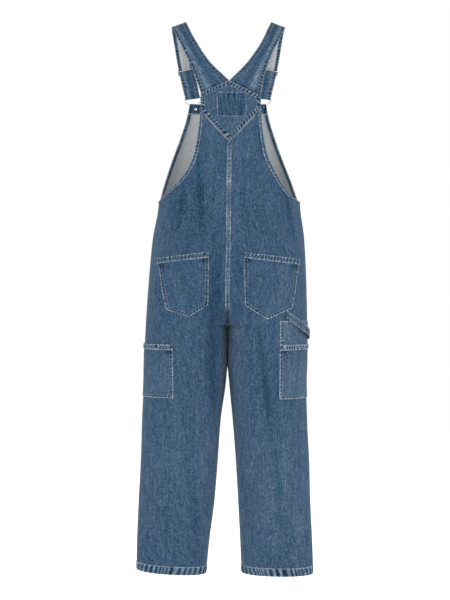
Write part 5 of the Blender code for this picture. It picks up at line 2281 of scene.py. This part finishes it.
@dataclass
class Buckle:
    """The bent wire that hangs in the strap's fold and hooks round the button's shank."""

    strap: Strap
    button: Button
    radius: float = 0.0013
    room: float = 0.0022
    height: float = 0.0031
    half: tuple = ((0.0220, 0.0000), (0.0220, 0.0060), (0.0185, 0.0120), (0.0110, 0.0205))

    def dress(self) -> None:
        """Makes the wire: its outline with corners cut three times, carried round by a circle."""
        here = self.strap.frame(0.0)
        bar = here.centre - here.normal * self.strap.fold_radius
        place, out = self.button.stand()
        drop = place + out * self.height - bar
        reach = np.linalg.norm(drop)
        down = drop / reach
        loop = self.button.shank + self.radius + self.room
        turn = np.linspace(0.30, math.pi - 0.30, 9)
        outline = [(0.0, 0.0), *self.half, (loop, reach - 0.001)]
        outline += [(loop * math.cos(angle), reach + loop * math.sin(angle)) for angle in turn]
        outline += [(-loop, reach - 0.001), *((-wide, low) for wide, low in reversed(self.half))]
        line = np.array(outline)
        for _ in range(3):
            ahead = np.roll(line, -1, axis=0)
            line = np.stack([0.75 * line + 0.25 * ahead, 0.25 * line + 0.75 * ahead], axis=1).reshape(-1, 2)
        path = bar + here.across * line[:, :1] + down * line[:, 1:]
        flat = np.cross(here.across, down)
        side = np.cross(unit(np.roll(path, -1, axis=0) - np.roll(path, 1, axis=0)), flat)
        angle = np.linspace(0, 2 * math.pi, 12, endpoint=False)[None, :, None]
        points = path[:, None] + (side[:, None] * np.cos(angle) + flat * np.sin(angle)) * self.radius
        node = f"buckle_{self.strap.side.word}"
        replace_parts(closed_tube(f"{node}_wire", points, FINISH.steel), node)
        log.info("%s", node)


@dataclass
class Studio:
    """The plain pale floor, the soft light and the camera that looks level at the garment's back."""

    camera_x: float = -0.00795
    camera_y: float = -3.6
    camera_z: float = -0.734
    half_height: float = 0.795
    floor_z: float = -1.62
    sky: float = 0.62
    side_watts: float = 30.0

    def camera(self) -> None:
        """Makes the camera: the long side of the picture spans half_height up and down at the garment."""
        data = bpy.data.cameras.new("camera")
        data.sensor_width = 36.0
        data.lens = 18.0 / (self.half_height / -self.camera_y)
        made = bpy.data.objects.new("camera", data)
        made.location = (self.camera_x, self.camera_y, self.camera_z)
        made.rotation_euler = (math.pi / 2, 0.0, 0.0)
        bpy.context.scene.collection.objects.link(made)
        bpy.context.scene.camera = made

    def world(self) -> None:
        """Makes the surroundings: white to the camera and softer as light."""
        world = bpy.data.worlds.new("studio")
        world.use_nodes = True
        bpy.context.scene.world = world
        board = Board(world.node_tree)
        background = world.node_tree.nodes["Background"]
        board.feed(background.inputs["Color"], (1.0, 1.0, 1.0, 1.0))
        seen = board.node("ShaderNodeLightPath").outputs["Is Camera Ray"]
        board.feed(background.inputs["Strength"], board.math("MULTIPLY_ADD", seen, 1.0 - self.sky, self.sky))

    def floor(self) -> None:
        """Makes the pale floor, a wide disc of one round face."""
        angle = np.linspace(0, 2 * math.pi, 96, endpoint=False)
        ring = np.stack([6 * np.cos(angle), 6 * np.sin(angle), self.floor_z + 0 * angle], axis=-1)
        mesh = bpy.data.meshes.new("floor")
        mesh.from_pydata(ring.tolist(), [], [list(range(96))])
        made = bpy.data.objects.new("floor", mesh)
        bpy.context.scene.collection.objects.link(made)
        material, board, shader = started("pale_floor")
        shader.inputs["Base Color"].default_value = (0.85, 0.85, 0.85, 1.0)
        shader.inputs["Roughness"].default_value = 0.9
        shader.inputs["Emission Color"].default_value = (1.0, 1.0, 1.0, 1.0)
        seen = board.node("ShaderNodeLightPath").outputs["Is Camera Ray"]
        board.feed(shader.inputs["Emission Strength"], board.math("MULTIPLY", seen, 0.6))
        mesh.materials.append(material)

    def light(self, name: str, place: tuple, size: tuple, watts: float) -> None:
        """Adds a large soft light that faces the garment.

        Args:
            name: The light's name.
            place: Where it stands.
            size: Its width and height.
            watts: Its power.
        """
        data = bpy.data.lights.new(name, "AREA")
        data.shape = "RECTANGLE"
        data.size, data.size_y = size
        data.energy = watts
        made = bpy.data.objects.new(name, data)
        made.location = place
        aim = Vector((0.0, 0.0, self.camera_z)) - Vector(place)
        made.rotation_euler = aim.to_track_quat("-Z", "Y").to_euler()
        bpy.context.scene.collection.objects.link(made)

    def dress(self) -> None:
        """Makes the camera, the surroundings, the floor and the lights."""
        bpy.context.scene.view_settings.view_transform = "Standard"
        self.camera()
        self.world()
        self.floor()
        self.light("soft_left", (-2.4, -2.0, -0.3), (1.6, 2.4), self.side_watts)
        self.light("soft_right", (2.4, -2.0, -0.3), (1.6, 2.4), self.side_watts)
        self.light("soft_front", (0.3, 2.6, 0.6), (2.0, 2.0), self.side_watts)


POCKETS = (
    BackPocket(
        Side.LEFT,
        top=(Corner(-0.1815, -0.6260), Corner(-0.0487, -0.6119)),
        middle=(Corner(-0.1690, -0.7120), Corner(-0.0500, -0.7120)),
        low=(Corner(-0.1580, -0.7590), Corner(-0.1000, -0.7770), Corner(-0.0510, -0.7460)),
    ),
    BackPocket(
        Side.RIGHT,
        top=(Corner(0.0403, -0.6129), Corner(0.1840, -0.6290)),
        middle=(Corner(0.0420, -0.7120), Corner(0.1725, -0.7120)),
        low=(Corner(0.0433, -0.7480), Corner(0.1002, -0.7837), Corner(0.1640, -0.7547)),
    ),
)
THIGHS = (
    LegPocket(Side.LEFT, top_z=-0.8480, low_z=-0.9870, back_x=-0.1410, tone=0.07),
    LegPocket(Side.RIGHT, top_z=-0.8490, low_z=-0.9900, back_x=0.1320, tone=0.10),
)
SIDE_BUTTON_Z = (-0.5050, -0.5600)
SIDE_BUTTON_X = {Side.LEFT: -0.1765, Side.RIGHT: 0.1810}
BIB_BUTTON_X = 0.0890
BIB_BUTTON_Z = -0.2130


def main() -> None:
    """Builds every sub-assembly in the order that it is sewn in."""
    logging.basicConfig(level=logging.INFO, format="%(message)s")
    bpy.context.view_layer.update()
    Studio().dress()
    panels = Trousers().dress()
    yoke = Yoke()
    yoke.dress()
    BackSeams(panels).dress()
    for pocket in POCKETS:
        pocket.dress()
    for pocket in THIGHS:
        pocket.dress()
    HammerLoop().dress()
    Bib().dress()
    for side in Side:
        strap = Strap(side, yoke)
        strap.dress()
        Adjuster(strap).dress()
        button = Button(f"bib_button_{side.word}", side.value * BIB_BUTTON_X, BIB_BUTTON_Z)
        button.dress(with_tack=True)
        Buckle(strap, button).dress()
        for number, z in enumerate(SIDE_BUTTON_Z, 1):
            Button(f"side_button_{side.word}_{number}", SIDE_BUTTON_X[side], z).dress()


if __name__ == "__main__":
    main()
